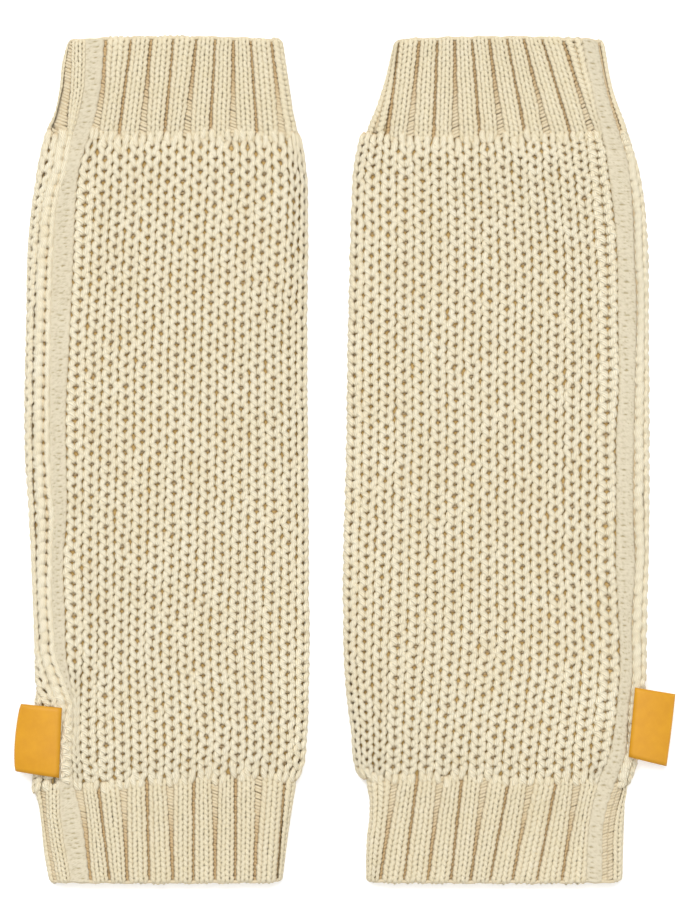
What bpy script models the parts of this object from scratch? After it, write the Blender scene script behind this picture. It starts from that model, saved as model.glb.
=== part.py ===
"""A pair of knitted arm warmers, laid flat side by side on a surface.

Each warmer is a flattened tube of chunky half-cardigan knit between two ribbed cuffs, with a
flat seam band along its outer side and a folded label sewn into that seam. X runs across the
pair, Y runs from the lower hems to the upper hems, and Z = 0 is the surface they lie on.
All sizes below are in millimetres.
"""

import math
from collections import namedtuple

import bmesh
import bpy
import numpy as np

MM = 0.001

# Both warmers
HEM = 150.0
UPPER_JOINT = 115.7
LOWER_JOINT = -113.0
JOINT_GAP = 0.3
BODY_TOP = 7.6
CUFF_TOP = 6.4
SLIT = 1.6
SWELL = 12.0
BODY_SHOULDER = 9.5
CUFF_SHOULDER = 6.5
WAIST = 2.8
FOOT = 3.2
SIDE_WALL = 1.5
SLOT_POINTS = 5

# Relief of the knit over its ground
COLUMN_RELIEF = 0.9
COLUMN_PITCH = 5.8
COLUMN_LINES = (1, 7, 13)
COLUMN_SHOULDERS = (0.3, 0.7)
RIB_RELIEF = 1.2
RIB_VALLEY = 0.9
RIB_SHOULDER = 0.8
HEM_ROUND = 1.1
HEM_INSET = 0.6
HEM_CROWN = 1.2

# Seam band, lying in a channel of the knit
CHANNEL_DEPTH = 0.7
CHANNEL_LIP = 0.25
BAND_THICK = 1.0
BAND_EDGE = 0.65

# Label, a ribbon folded double
LABEL_THICK = 1.1
LABEL_DROOP = 3.4
LABEL_STEPS = 6
LABEL_ROWS = 6
CLEARANCE = 0.3
BAND_ROOM = 2.5

# How the stations of a body and of a cuff are spread between their ends, as shares of the length
BODY_STATIONS = (0, 0.02, 0.05, 0.1, 0.17, 0.27, 0.38, 0.5, 0.62, 0.73, 0.83, 0.9, 0.95, 0.98, 1)
CUFF_STATIONS = (0, 0.33, 0.67, 1)

# How fast the lower joint's dip towards the seam fades along the body
DIP_FADE = 6

SHARP_ANGLE = math.radians(50)

Edge = namedtuple("Edge", "y left right")
Columns = namedtuple("Columns", "y first middle last")
Band = namedtuple("Band", "y centre width")
Ribs = namedtuple("Ribs", "count hem_first hem_pitch joint_first joint_pitch")
Label = namedtuple("Label", "sewn_top sewn_bottom free_bottom free_top")
Warmer = namedtuple("Warmer", "name flip body upper_cuff lower_cuff columns near_columns last_column "
                              "band upper_ribs lower_ribs dip label")

LEFT = Warmer(
    name="left",
    flip=1,
    body=(
        Edge(-113.0, -111.0, -16.6),
        Edge(-108.0, -110.6, -15.0),
        Edge(-97.5, -110.2, -13.9),
        Edge(-81.5, -109.9, -13.3),
        Edge(-34.0, -111.3, -13.3),
        Edge(3.5, -113.5, -13.6),
        Edge(46.0, -113.1, -13.9),
        Edge(83.0, -111.7, -13.6),
        Edge(104.0, -108.9, -14.3),
        Edge(115.7, -106.4, -16.3),
    ),
    upper_cuff=(Edge(115.7, -106.7, -16.8), Edge(131.0, -101.4, -19.6), Edge(150.0, -97.2, -22.2)),
    lower_cuff=(Edge(-150.0, -104.4, -22.6), Edge(-134.6, -107.1, -20.7), Edge(-113.0, -111.3, -17.2)),
    columns=(
        Columns(-113.0, -92.6, -58.8, -25.0),
        Columns(-99.0, -94.0, -58.2, -23.9),
        Columns(-67.0, -93.0, -59.6, -23.5),
        Columns(-32.0, -93.2, -58.5, -22.8),
        Columns(3.5, -92.6, -57.5, -22.5),
        Columns(39.0, -91.7, -56.8, -22.8),
        Columns(74.0, -89.7, -55.8, -21.2),
        Columns(106.0, -88.0, -54.3, -20.4),
        Columns(115.7, -87.5, -54.0, -21.4),
    ),
    near_columns=2,
    last_column=14,
    band=(
        Band(-150.0, -94.0, 7.2),
        Band(-120.0, -97.9, 7.4),
        Band(-112.0, -98.8, 5.8),
        Band(-99.0, -99.0, 3.0),
        Band(-85.0, -98.7, 3.0),
        Band(-62.0, -100.0, 5.0),
        Band(-31.0, -101.0, 5.8),
        Band(0.0, -101.6, 7.2),
        Band(59.0, -100.5, 7.2),
        Band(98.0, -98.0, 6.6),
        Band(116.0, -94.6, 6.4),
        Band(129.5, -91.0, 5.8),
        Band(150.0, -89.8, 5.8),
    ),
    upper_ribs=Ribs(8, -76.5, 7.43, -79.9, 8.1),
    lower_ribs=Ribs(9, -83.4, 7.4, -86.1, 7.93),
    dip=4.0,
    label=Label((-100.2, -87.5), (-101.2, -112.3), (-116.5, -110.2), (-114.5, -86.3)),
)

RIGHT = Warmer(
    name="right",
    flip=-1,
    body=(
        Edge(-113.0, 4.6, 100.8),
        Edge(-108.0, 3.4, 102.8),
        Edge(-97.5, 2.2, 105.0),
        Edge(-81.5, 0.2, 106.0),
        Edge(-50.0, -0.9, 106.7),
        Edge(3.5, 0.2, 107.4),
        Edge(46.0, 0.9, 107.1),
        Edge(83.0, 1.9, 106.4),
        Edge(104.0, 3.0, 103.2),
        Edge(115.7, 5.3, 99.9),
    ),
    upper_cuff=(Edge(115.7, 6.4, 100.2), Edge(131.0, 12.6, 94.7), Edge(150.0, 17.3, 91.2)),
    lower_cuff=(Edge(-150.0, 6.9, 97.4), Edge(-134.6, 7.3, 97.6), Edge(-113.0, 8.2, 101.1)),
    columns=(
        Columns(-113.0, 85.5, 48.6, 13.4),
        Columns(-99.0, 86.9, 49.7, 14.3),
        Columns(-67.0, 89.7, 52.9, 15.0),
        Columns(-32.0, 88.3, 53.3, 16.1),
        Columns(3.5, 88.5, 53.6, 17.2),
        Columns(39.0, 89.0, 53.6, 17.5),
        Columns(74.0, 88.3, 54.0, 17.9),
        Columns(106.0, 85.5, 52.9, 18.2),
        Columns(115.7, 84.6, 52.3, 18.8),
    ),
    near_columns=1,
    last_column=15,
    band=(
        Band(-150.0, 87.6, 6.2),
        Band(-123.0, 89.1, 5.8),
        Band(-112.3, 92.0, 6.4),
        Band(-102.0, 96.0, 5.8),
        Band(-85.0, 98.7, 5.0),
        Band(-50.0, 98.4, 6.0),
        Band(3.5, 98.4, 6.6),
        Band(59.0, 99.0, 6.6),
        Band(93.0, 98.2, 6.3),
        Band(111.0, 95.6, 6.2),
        Band(129.5, 89.8, 5.8),
        Band(150.0, 86.0, 5.8),
    ),
    upper_ribs=Ribs(10, 78.9, 6.62, 85.7, 7.79),
    lower_ribs=Ribs(9, 75.9, 7.82, 81.2, 8.14),
    dip=2.5,
    label=Label((102.1, -80.4), (99.8, -104.9), (113.3, -108.4), (116.5, -82.9)),
)


def clear_scene():
    for item in list(bpy.data.objects):
        bpy.data.objects.remove(item, do_unlink=True)


def cloth_material(name, colour, roughness):
    """A plain dielectric cloth finish; colour is linear RGB."""
    material = bpy.data.materials.new(name)
    material.use_nodes = True
    shader = material.node_tree.nodes["Principled BSDF"]
    shader.inputs["Base Color"].default_value = (*colour, 1.0)
    shader.inputs["Roughness"].default_value = roughness
    shader.inputs["Metallic"].default_value = 0.0
    material.diffuse_color = (*colour, 1.0)
    return material


def read(rows, y):
    """The values of a table at the height y, on a smooth curve through its rows."""
    heights = np.array([row.y for row in rows])
    values = np.array([row[1:] for row in rows])
    slopes = np.gradient(values, heights, axis=0)
    y = min(max(y, heights[0]), heights[-1])
    i = min(int(np.searchsorted(heights, y, side="right")) - 1, len(rows) - 2)
    span = heights[i + 1] - heights[i]
    t = (y - heights[i]) / span
    return ((2 * t**3 - 3 * t**2 + 1) * values[i] + (t**3 - 2 * t**2 + t) * span * slopes[i]
            + (3 * t**2 - 2 * t**3) * values[i + 1] + (t**3 - t**2) * span * slopes[i + 1])


def ease(share):
    """A smooth step from 0 to 1."""
    share = min(max(share, 0.0), 1.0)
    return share * share * (3 - 2 * share)


class Section:
    """The smooth ground of a flattened tube at one height, seen along Y.

    Places on its upper side are given as the cloth would lie unrolled: between the shoulders
    that is X itself, and past a shoulder it is the distance walked down the rounded side.
    """

    TURN = np.linspace(0, math.pi / 2, 65)

    def __init__(self, low, high, relief, y):
        body_share = ease(min(y - LOWER_JOINT, UPPER_JOINT - y) / SWELL)
        self.top = CUFF_TOP + (BODY_TOP - CUFF_TOP) * body_share
        self.shoulder = CUFF_SHOULDER + (BODY_SHOULDER - CUFF_SHOULDER) * body_share
        self.wall = (self.top - SLIT) / 2
        self.low, self.high = low + relief, high - relief
        self.near, self.far = self.low + self.shoulder, self.high - self.shoulder
        run = self.shoulder * np.sin(self.TURN)
        drop = (self.top - WAIST) * np.cos(self.TURN)
        self.walk = np.r_[0, np.cumsum(np.hypot(np.diff(run), np.diff(drop)))]
        self.near_end = self.near - self.walk[-1]
        self.far_end = self.far + self.walk[-1]

    def unroll(self, x):
        """The unrolled place of a point that is seen at x from above."""
        past = max(self.near - x, x - self.far, 0.0)
        walked = float(np.interp(math.asin(min(past / self.shoulder, 1.0)), self.TURN, self.walk))
        if x < self.near:
            return self.near - walked
        return self.far + walked if x > self.far else x

    def at(self, across, lift=0.0):
        """The X and Z of an unrolled place on the upper side, moved out by lift."""
        past = max(self.near - across, across - self.far, 0.0)
        side = -1 if across < self.near else 1
        angle = float(np.interp(past, self.walk, self.TURN))
        drop = self.top - WAIST
        out = np.array([drop * math.sin(angle), self.shoulder * math.cos(angle)])
        out /= np.linalg.norm(out)
        base = min(max(across, self.near), self.far)
        x = base + side * self.shoulder * math.sin(angle)
        return x + side * lift * out[0], WAIST + drop * math.cos(angle) + lift * out[1]

    def under(self):
        """The rounded foot of both sides and the flat underside, from high X to low X."""
        half_turn = math.pi / 4
        run, rise = FOOT * (1 - math.cos(half_turn)), WAIST * (1 - math.sin(half_turn))
        return [(self.high - run, rise), (self.high - FOOT, 0.0), (self.low + FOOT, 0.0),
                (self.low + run, rise)]

    def slot(self):
        """The plain inside: a flat slot, from low X over the top and back."""
        low, high = self.low + self.wall + SIDE_WALL, self.high - self.wall - SIDE_WALL
        middle = self.top / 2
        spread = np.linspace(low + SLIT / 2, high - SLIT / 2, SLOT_POINTS)
        over = [(x, self.top - self.wall) for x in spread]
        back = [(x, self.wall) for x in spread[::-1]]
        return [(low, middle), *over, (high, middle), *back]

    def width_share(self, x):
        """0 at the low edge, 1 at the high edge."""
        return (x - self.low) / (self.high - self.low)


# One row of points around a tube: its height, ground, and how much its joint dips and its hem is crowned
Station = namedtuple("Station", "y section dip crown")


def section_of(warmer, rows, relief, y):
    """The ground at a height, with X flipped where needed so that the seam is on the low side."""
    left, right = read(rows, y)
    low, high = (left, right) if warmer.flip > 0 else (-right, -left)
    return Section(low, high, relief, y)


def band_edges(warmer, section, y):
    """The unrolled outer and inner edge of the seam band."""
    centre, width = read(warmer.band, y)
    outer = section.unroll(centre * warmer.flip - width / 2)
    inner = section.unroll(centre * warmer.flip + width / 2)
    return max(outer, section.near_end + BAND_ROOM), inner


def column_lines(warmer, section, y):
    """The gaps between the columns, from the seam band's inner edge to the far side, unrolled."""
    seen = np.array(read(warmer.columns, y)) * warmer.flip
    weights = np.polyfit(COLUMN_LINES, seen, 2)
    last = COLUMN_LINES[-1]
    lines = [section.unroll(float(np.polyval(weights, k))) for k in range(1, last + 1)]
    past = warmer.last_column - last
    pitch = min(COLUMN_PITCH, (section.far_end - lines[-1]) / (past + 1))
    lines += [lines[-1] + (k + 1) * pitch for k in range(past)]
    return [band_edges(warmer, section, y)[1], *lines]


def column(start, end):
    """A raised column between two gaps: its gap and its two shoulders, as place and lift."""
    return [(start, 0.0)] + [(start + share * (end - start), COLUMN_RELIEF) for share in COLUMN_SHOULDERS]


def rib(start, end, relief):
    """One rib between two valleys: the valley's floor, the two shoulders and the crown."""
    valley = min(RIB_VALLEY, (end - start) / 4)
    return [(start, 0.0), (start + valley, relief * RIB_SHOULDER), ((start + end) / 2, relief),
            (end - valley, relief * RIB_SHOULDER)]


def channel(outer, inner):
    """The channel that the seam band lies in, as place and lift."""
    return [(outer, 0.0), (outer + CHANNEL_LIP, -CHANNEL_DEPTH), ((outer + inner) / 2, -CHANNEL_DEPTH),
            (inner - CHANNEL_LIP, -CHANNEL_DEPTH)]


def body_knots(warmer, section, y):
    """Places and lifts across the upper side of the body, from the seam's side to the far side."""
    outer, inner = band_edges(warmer, section, y)
    beside = np.linspace(section.near_end, outer, warmer.near_columns + 1)
    lines = [*column_lines(warmer, section, y), section.far_end]
    knots = [knot for start, end in zip(beside, beside[1:]) for knot in column(start, end)]
    knots += channel(outer, inner)
    knots += [knot for start, end in zip(lines, lines[1:]) for knot in column(start, end)]
    return knots + [(section.far_end, 0.0)]


def cuff_knots(warmer, ribs, section, y, share, relief):
    """Places and lifts across the upper side of a cuff; share is 0 at the hem and 1 at the joint."""
    outer, inner = band_edges(warmer, section, y)
    first = ribs.hem_first + share * (ribs.joint_first - ribs.hem_first)
    pitch = ribs.hem_pitch + share * (ribs.joint_pitch - ribs.hem_pitch)
    valleys = [section.unroll(first * warmer.flip + k * pitch) for k in range(ribs.count)]
    lines = [inner, *valleys, section.far_end]
    knots = rib(section.near_end, outer, relief) + channel(outer, inner)
    knots += [knot for start, end in zip(lines, lines[1:]) for knot in rib(start, end, relief)]
    return knots + [(section.far_end, 0.0)]


def body_stations(warmer):
    """The rows of the body, from the lower joint to the upper one."""
    low, high = LOWER_JOINT + JOINT_GAP / 2, UPPER_JOINT - JOINT_GAP / 2
    heights = [low + share * (high - low) for share in BODY_STATIONS]
    return [Station(y, section_of(warmer, warmer.body, COLUMN_RELIEF, y), (1 - share) ** DIP_FADE, 0.0)
            for y, share in zip(heights, BODY_STATIONS)]


def cuff_stations(warmer, rows, hem, joint):
    """The rows of a cuff, from its hem to its joint."""
    towards_joint = -math.copysign(1, hem)
    hem_side, joint_side = hem + towards_joint * HEM_ROUND, joint - towards_joint * JOINT_GAP / 2
    heights = [hem] + [hem_side + share * (joint_side - hem_side) for share in CUFF_STATIONS]
    stations = []
    for y in heights:
        share = (y - hem) / (joint_side - hem)
        dip = share if hem < 0 else 0.0
        crown = math.copysign(HEM_CROWN, hem) * (1 - share)
        stations.append(Station(y, section_of(warmer, rows, RIB_RELIEF, y), dip, crown))
    return stations


def bent_y(warmer, station, x):
    """The height of a point at x: the lower joint dips towards the seam, and a hem is crowned."""
    across = station.section.width_share(x)
    return station.y - warmer.dip * station.dip * (1 - across) - station.crown * (2 * across - 1) ** 2


def row(bm, warmer, station, points):
    """One closed row of points around the tube."""
    return [bm.verts.new((warmer.flip * x * MM, bent_y(warmer, station, x) * MM, z * MM))
            for x, z in points]


def bridge(bm, rows):
    """Faces between rows with the same number of points."""
    for first, second in zip(rows, rows[1:]):
        for i, corner in enumerate(first):
            j = (i + 1) % len(first)
            bm.faces.new((corner, first[j], second[j], second[i]))


def close_end(bm, outer, inner):
    """Triangles across the wall's end, between the outer row and the inner one."""
    edges = [bm.edges.get((corner, loop[i - 1])) for loop in (outer, inner) for i, corner in enumerate(loop)]
    bmesh.ops.triangle_fill(bm, use_beauty=True, use_dissolve=False, edges=edges, normal=(0.0, 1.0, 0.0))


def finish(bm, name, material):
    """Turns the faces out and makes the object."""
    bmesh.ops.recalc_face_normals(bm, faces=bm.faces)
    mesh = bpy.data.meshes.new(name)
    bm.to_mesh(mesh)
    bm.free()
    mesh.materials.append(material)
    mesh.shade_smooth()
    mesh.set_sharp_from_angle(angle=SHARP_ANGLE)
    item = bpy.data.objects.new(name, mesh)
    bpy.context.collection.objects.link(item)


def tube(warmer, name, stations, outlines, material):
    """A walled tube through stations, with an outer outline for each and a plain slot inside."""
    bm = bmesh.new()
    outer = [row(bm, warmer, station, points) for station, points in zip(stations, outlines)]
    inner = [row(bm, warmer, station, station.section.slot()) for station in stations]
    bridge(bm, outer)
    bridge(bm, inner)
    for end in (0, -1):
        close_end(bm, outer[end], inner[end])
    finish(bm, f"{warmer.name}_{name}", material)


def body(warmer, material):
    """The half-cardigan tube between the cuffs."""
    stations = body_stations(warmer)
    outlines = []
    for station in stations:
        knots = body_knots(warmer, station.section, station.y)
        outlines.append([station.section.at(*knot) for knot in knots] + station.section.under())
    tube(warmer, "body", stations, outlines, material)


def cuff(warmer, name, rows, ribs, hem, joint, material):
    """A ribbed cuff, with its hem's outer edge rounded off."""
    stations = cuff_stations(warmer, rows, hem, joint)
    outlines = []
    for station in stations:
        section = station.section
        share = (station.y - hem) / (joint - hem)
        relief = RIB_RELIEF - (HEM_INSET if station.y == hem else 0.0)
        knots = cuff_knots(warmer, ribs, section, station.y, share, relief)
        outlines.append([section.at(*knot) for knot in knots] + section.under())
    tube(warmer, name, stations, outlines, material)


def seam(warmer, material):
    """The flat seam band, hem to hem, lying in the channel of the three tubes."""
    lower = cuff_stations(warmer, warmer.lower_cuff, -HEM, LOWER_JOINT)
    upper = cuff_stations(warmer, warmer.upper_cuff, HEM, UPPER_JOINT)
    base = CLEARANCE - CHANNEL_DEPTH
    bm = bmesh.new()
    rows = []
    for station in (*lower, *body_stations(warmer), *upper[::-1]):
        outer, inner = band_edges(warmer, station.section, station.y)
        side = CHANNEL_LIP + CLEARANCE
        low, middle, high = outer + side, (outer + inner) / 2, inner - side
        knots = [(low, base), (low, base + BAND_EDGE), (middle, base + BAND_THICK),
                 (high, base + BAND_EDGE), (high, base), (middle, base)]
        rows.append(row(bm, warmer, station, [station.section.at(*knot) for knot in knots]))
    bridge(bm, rows)
    bm.faces.new(rows[0])
    bm.faces.new(rows[-1])
    finish(bm, f"{warmer.name}_seam", material)


def sewn_height(warmer, place):
    """The height just above the columns of the body at a place on the label's sewn edge."""
    across = place[0] * warmer.flip
    fade = ((UPPER_JOINT - place[1]) / (UPPER_JOINT - LOWER_JOINT)) ** DIP_FADE
    section = section_of(warmer, warmer.body, COLUMN_RELIEF, place[1] + warmer.dip * fade)
    return section.at(section.unroll(across), COLUMN_RELIEF)[1] + CLEARANCE


def label(warmer, material):
    """A flag label sewn along the seam's outer edge, drooping a little past the warmer's side."""
    bm = bmesh.new()
    sewn_top, sewn_bottom, free_bottom, free_top = np.array(warmer.label)
    rows = []
    for out in np.linspace(0, 1, LABEL_STEPS):
        under = []
        for down in np.linspace(0, 1, LABEL_ROWS):
            sewn = sewn_top + down * (sewn_bottom - sewn_top)
            free = free_top + down * (free_bottom - free_top)
            height = sewn_height(warmer, sewn) - LABEL_DROOP * out**2
            under.append(np.array((*(sewn + out * (free - sewn)), height)))
        over = [point + np.array((0, 0, LABEL_THICK)) for point in reversed(under)]
        rows.append([bm.verts.new(point * MM) for point in under + over])
    bridge(bm, rows)
    bm.faces.new(rows[0])
    bm.faces.new(rows[-1])
    finish(bm, f"{warmer.name}_label", material)


def build_pair():
    """Every piece of both warmers."""
    knit = cloth_material("cardigan_knit_cotton", (0.83, 0.77, 0.57), 0.9)
    rib_knit = cloth_material("ribbed_cotton", (0.80, 0.74, 0.54), 0.9)
    fine_knit = cloth_material("fine_knit_cotton", (0.82, 0.77, 0.60), 0.9)
    ribbon = cloth_material("woven_polyester_ribbon", (0.80, 0.42, 0.03), 0.6)
    for warmer in (LEFT, RIGHT):
        body(warmer, knit)
        cuff(warmer, "upper_cuff", warmer.upper_cuff, warmer.upper_ribs, HEM, UPPER_JOINT, rib_knit)
        cuff(warmer, "lower_cuff", warmer.lower_cuff, warmer.lower_ribs, -HEM, LOWER_JOINT, rib_knit)
        seam(warmer, fine_knit)
        label(warmer, ribbon)


clear_scene()
build_pair()
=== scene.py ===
"""A pair of knitted arm warmers, laid flat side by side.

Each warmer is a flattened tube of chunky half-cardigan knit between two ribbed cuffs, with a flat
seam band along its outer side and a folded ribbon label sewn into that seam. Every stitch that
shows is its own short length of yarn, laid over a thin ground cloth that keeps the tube's form.
X runs across the pair, Y from the lower hems to the upper hems, and Z = 0 is the surface that they
lie on. Sizes are in millimetres unless a docstring says otherwise.
"""

import logging
import math
from collections.abc import Sequence
from dataclasses import dataclass, field
from enum import Enum

import bpy
import numpy as np
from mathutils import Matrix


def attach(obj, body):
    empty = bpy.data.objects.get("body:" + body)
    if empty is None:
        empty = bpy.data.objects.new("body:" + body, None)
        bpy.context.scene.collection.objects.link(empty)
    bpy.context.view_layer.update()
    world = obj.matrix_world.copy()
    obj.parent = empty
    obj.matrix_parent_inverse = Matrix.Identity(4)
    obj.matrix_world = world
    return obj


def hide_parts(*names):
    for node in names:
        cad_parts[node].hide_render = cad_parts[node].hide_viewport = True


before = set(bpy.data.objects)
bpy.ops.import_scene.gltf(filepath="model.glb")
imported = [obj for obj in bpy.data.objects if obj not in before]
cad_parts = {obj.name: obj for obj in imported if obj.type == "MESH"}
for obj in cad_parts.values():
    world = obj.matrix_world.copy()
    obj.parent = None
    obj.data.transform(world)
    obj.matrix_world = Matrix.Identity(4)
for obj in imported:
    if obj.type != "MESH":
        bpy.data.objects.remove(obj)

MM = 0.001
LOG = logging.getLogger("arm_warmers")

# Heights of the hems and of the joints between cuffs and body
HEM = 150.0
UPPER_JOINT = 115.7
LOWER_JOINT = -113.0

# The laid tube: the tops of its upper layer, and the slot for the arm between its two layers
BODY_TOP = 7.6
CUFF_TOP = 6.4
SLOT = 1.6
# How low yarn may lie where the surface presses it flat
PRESSED = 0.02
# How far from its joints the body has swelled to its full height
SWELL = 12.0
# The section's rounded shoulders, the height where they end, how far the foot below them turns in,
# and the wall beside the slot
BODY_SHOULDER = 9.5
CUFF_SHOULDER = 6.5
WAIST = 2.8
FOOT = 3.2
SIDE_WALL = 1.5
# How finely a shoulder is drawn, and how finely it is measured
TURN_STEPS = 64
WALK_STEPS = 17
# The ground's thickness, and how far the stitches stand out from it
BODY_GROUND = 0.95
RIB_GROUND = 0.9
BODY_RELIEF = 0.9
RIB_RELIEF = 1.2
# How far the lower and the upper hem are crowned, and the hems' waves: how high, and their turns
HEM_CROWNS = (0.25, 1.2)
HEM_WAVE = 0.25
HEM_WAVE_TURNS = (0.31, 0.83)
# The hem's turned edge: its radius, how far round it goes in radians, and half its yarn's thickness
HEM_ROLL = 1.2
HEM_TURN = 1.4
HEM_YARN = 0.75
# How far a cuff's knit sinks near its joint, within what length, and how steeply it goes on past it
TUCK_DEPTH = 0.3
TUCK_LENGTH = 3.0
TUCK_SLOPE = 0.25
# How far the yarn stands out past the plan's outline, where the real one has loose fibre
FIBRE = 0.45
# How fast the lower joint's dip fades out up the body
DIP_FADE = 6
COLUMN_PITCH = 5.8
# Which gaps between columns are measured, counted from the band
COLUMN_LINES = (1, 7, 13)
# The least room on the upper layer beyond the band's outer edge
BAND_ROOM = 2.0
# Where across the upper layer the rows' drifts are measured, and where they stop changing, as shares
# of its width
RISE_PLACES = (0.23, 0.55, 0.89)
RISE_LIMITS = (0.03, 0.97)
# The flat yarn behind the gaps: its thickness over its width, its rings' spacing and least number,
# and how near to the hem it ends, as a share of the hem's height
BACKING_FLAT = 0.12
BACKING_STEP = 4.0
BACKING_RINGS = 12
BACKING_END = 0.985
# How far the label's fold sinks below its sewn edge
LABEL_DROOP = 3.4
# A wave texture has one band every 0.314 units at scale 1
WAVE_BAND = 0.314


class Side(Enum):
    """Which warmer of the pair it is; the value is the direction from its seam to its far side."""

    LEFT = 1.0
    RIGHT = -1.0

    @property
    def word(self) -> str:
        """The side's name as the nodes spell it."""
        return self.name.lower()


class Part(Enum):
    """The three tubes of a warmer, named as their nodes are."""

    BODY = "body"
    UPPER_CUFF = "upper_cuff"
    LOWER_CUFF = "lower_cuff"


@dataclass(frozen=True)
class Rows:
    """Measured rows, each a height and its values, with a smooth curve through them."""

    rows: tuple[tuple[float, ...], ...]

    def at(self, y: np.ndarray | float) -> np.ndarray:
        """Reads the curve.

        Args:
            y: heights, of any shape.

        Returns:
            The values, in one more dimension than y.
        """
        table = np.array(self.rows)
        heights, values = table[:, 0], table[:, 1:]
        slopes = np.gradient(values, heights, axis=0)
        y = np.clip(np.asarray(y, float), heights[0], heights[-1])
        i = np.clip(np.searchsorted(heights, y, side="right") - 1, 0, len(heights) - 2)
        span = (heights[i + 1] - heights[i])[..., None]
        t = (y - heights[i])[..., None] / span
        return (
            (2 * t**3 - 3 * t**2 + 1) * values[i]
            + (t**3 - 2 * t**2 + t) * span * slopes[i]
            + (3 * t**2 - 2 * t**3) * values[i + 1]
            + (t**3 - t**2) * span * slopes[i + 1]
        )


@dataclass(frozen=True)
class Plan:
    """The measured shape of one warmer, as it lies."""

    side: Side
    body: Rows
    upper_cuff: Rows
    lower_cuff: Rows
    # The measured gaps between the body's columns, and how many gaps there are
    columns: Rows
    last_column: int
    # The band's outer and inner edge
    band: Rows
    # The open middles of the column that the seam runs through, and that column's outer edge
    seam_holes: Rows
    upper_valleys: Rows
    lower_valleys: Rows
    # Which valleys widen towards the body, counted from the band: the even or the odd ones
    wide_valleys: int
    # For the upper and the lower cuff, the widths of the rib and then the valley beyond the band
    upper_side: Rows
    lower_side: Rows
    # Whether a stitch meets the band from outside, and from where on down some lap over the band
    stitched_edge: bool
    lapped_below: float
    # The dents in the band: place and reach across, depth, first row, and rows from one to the next
    dents: tuple[tuple[float, float, float, float, int], ...]
    # How far the lower joint dips at the seam's side
    dip: float
    # The label's corners: sewn edge's top and bottom, then the fold's bottom and top
    label: tuple[tuple[float, float], ...]
    # How far the label's fold bulges out between its corners
    label_bulge: float
    # How far the rows have drifted up near the band, in the middle and at the far side
    row_rise: Rows
    # Some of the rows of stitches, counted from the upper joint, and their heights
    stitch_rows: tuple[tuple[float, float], ...]


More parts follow.
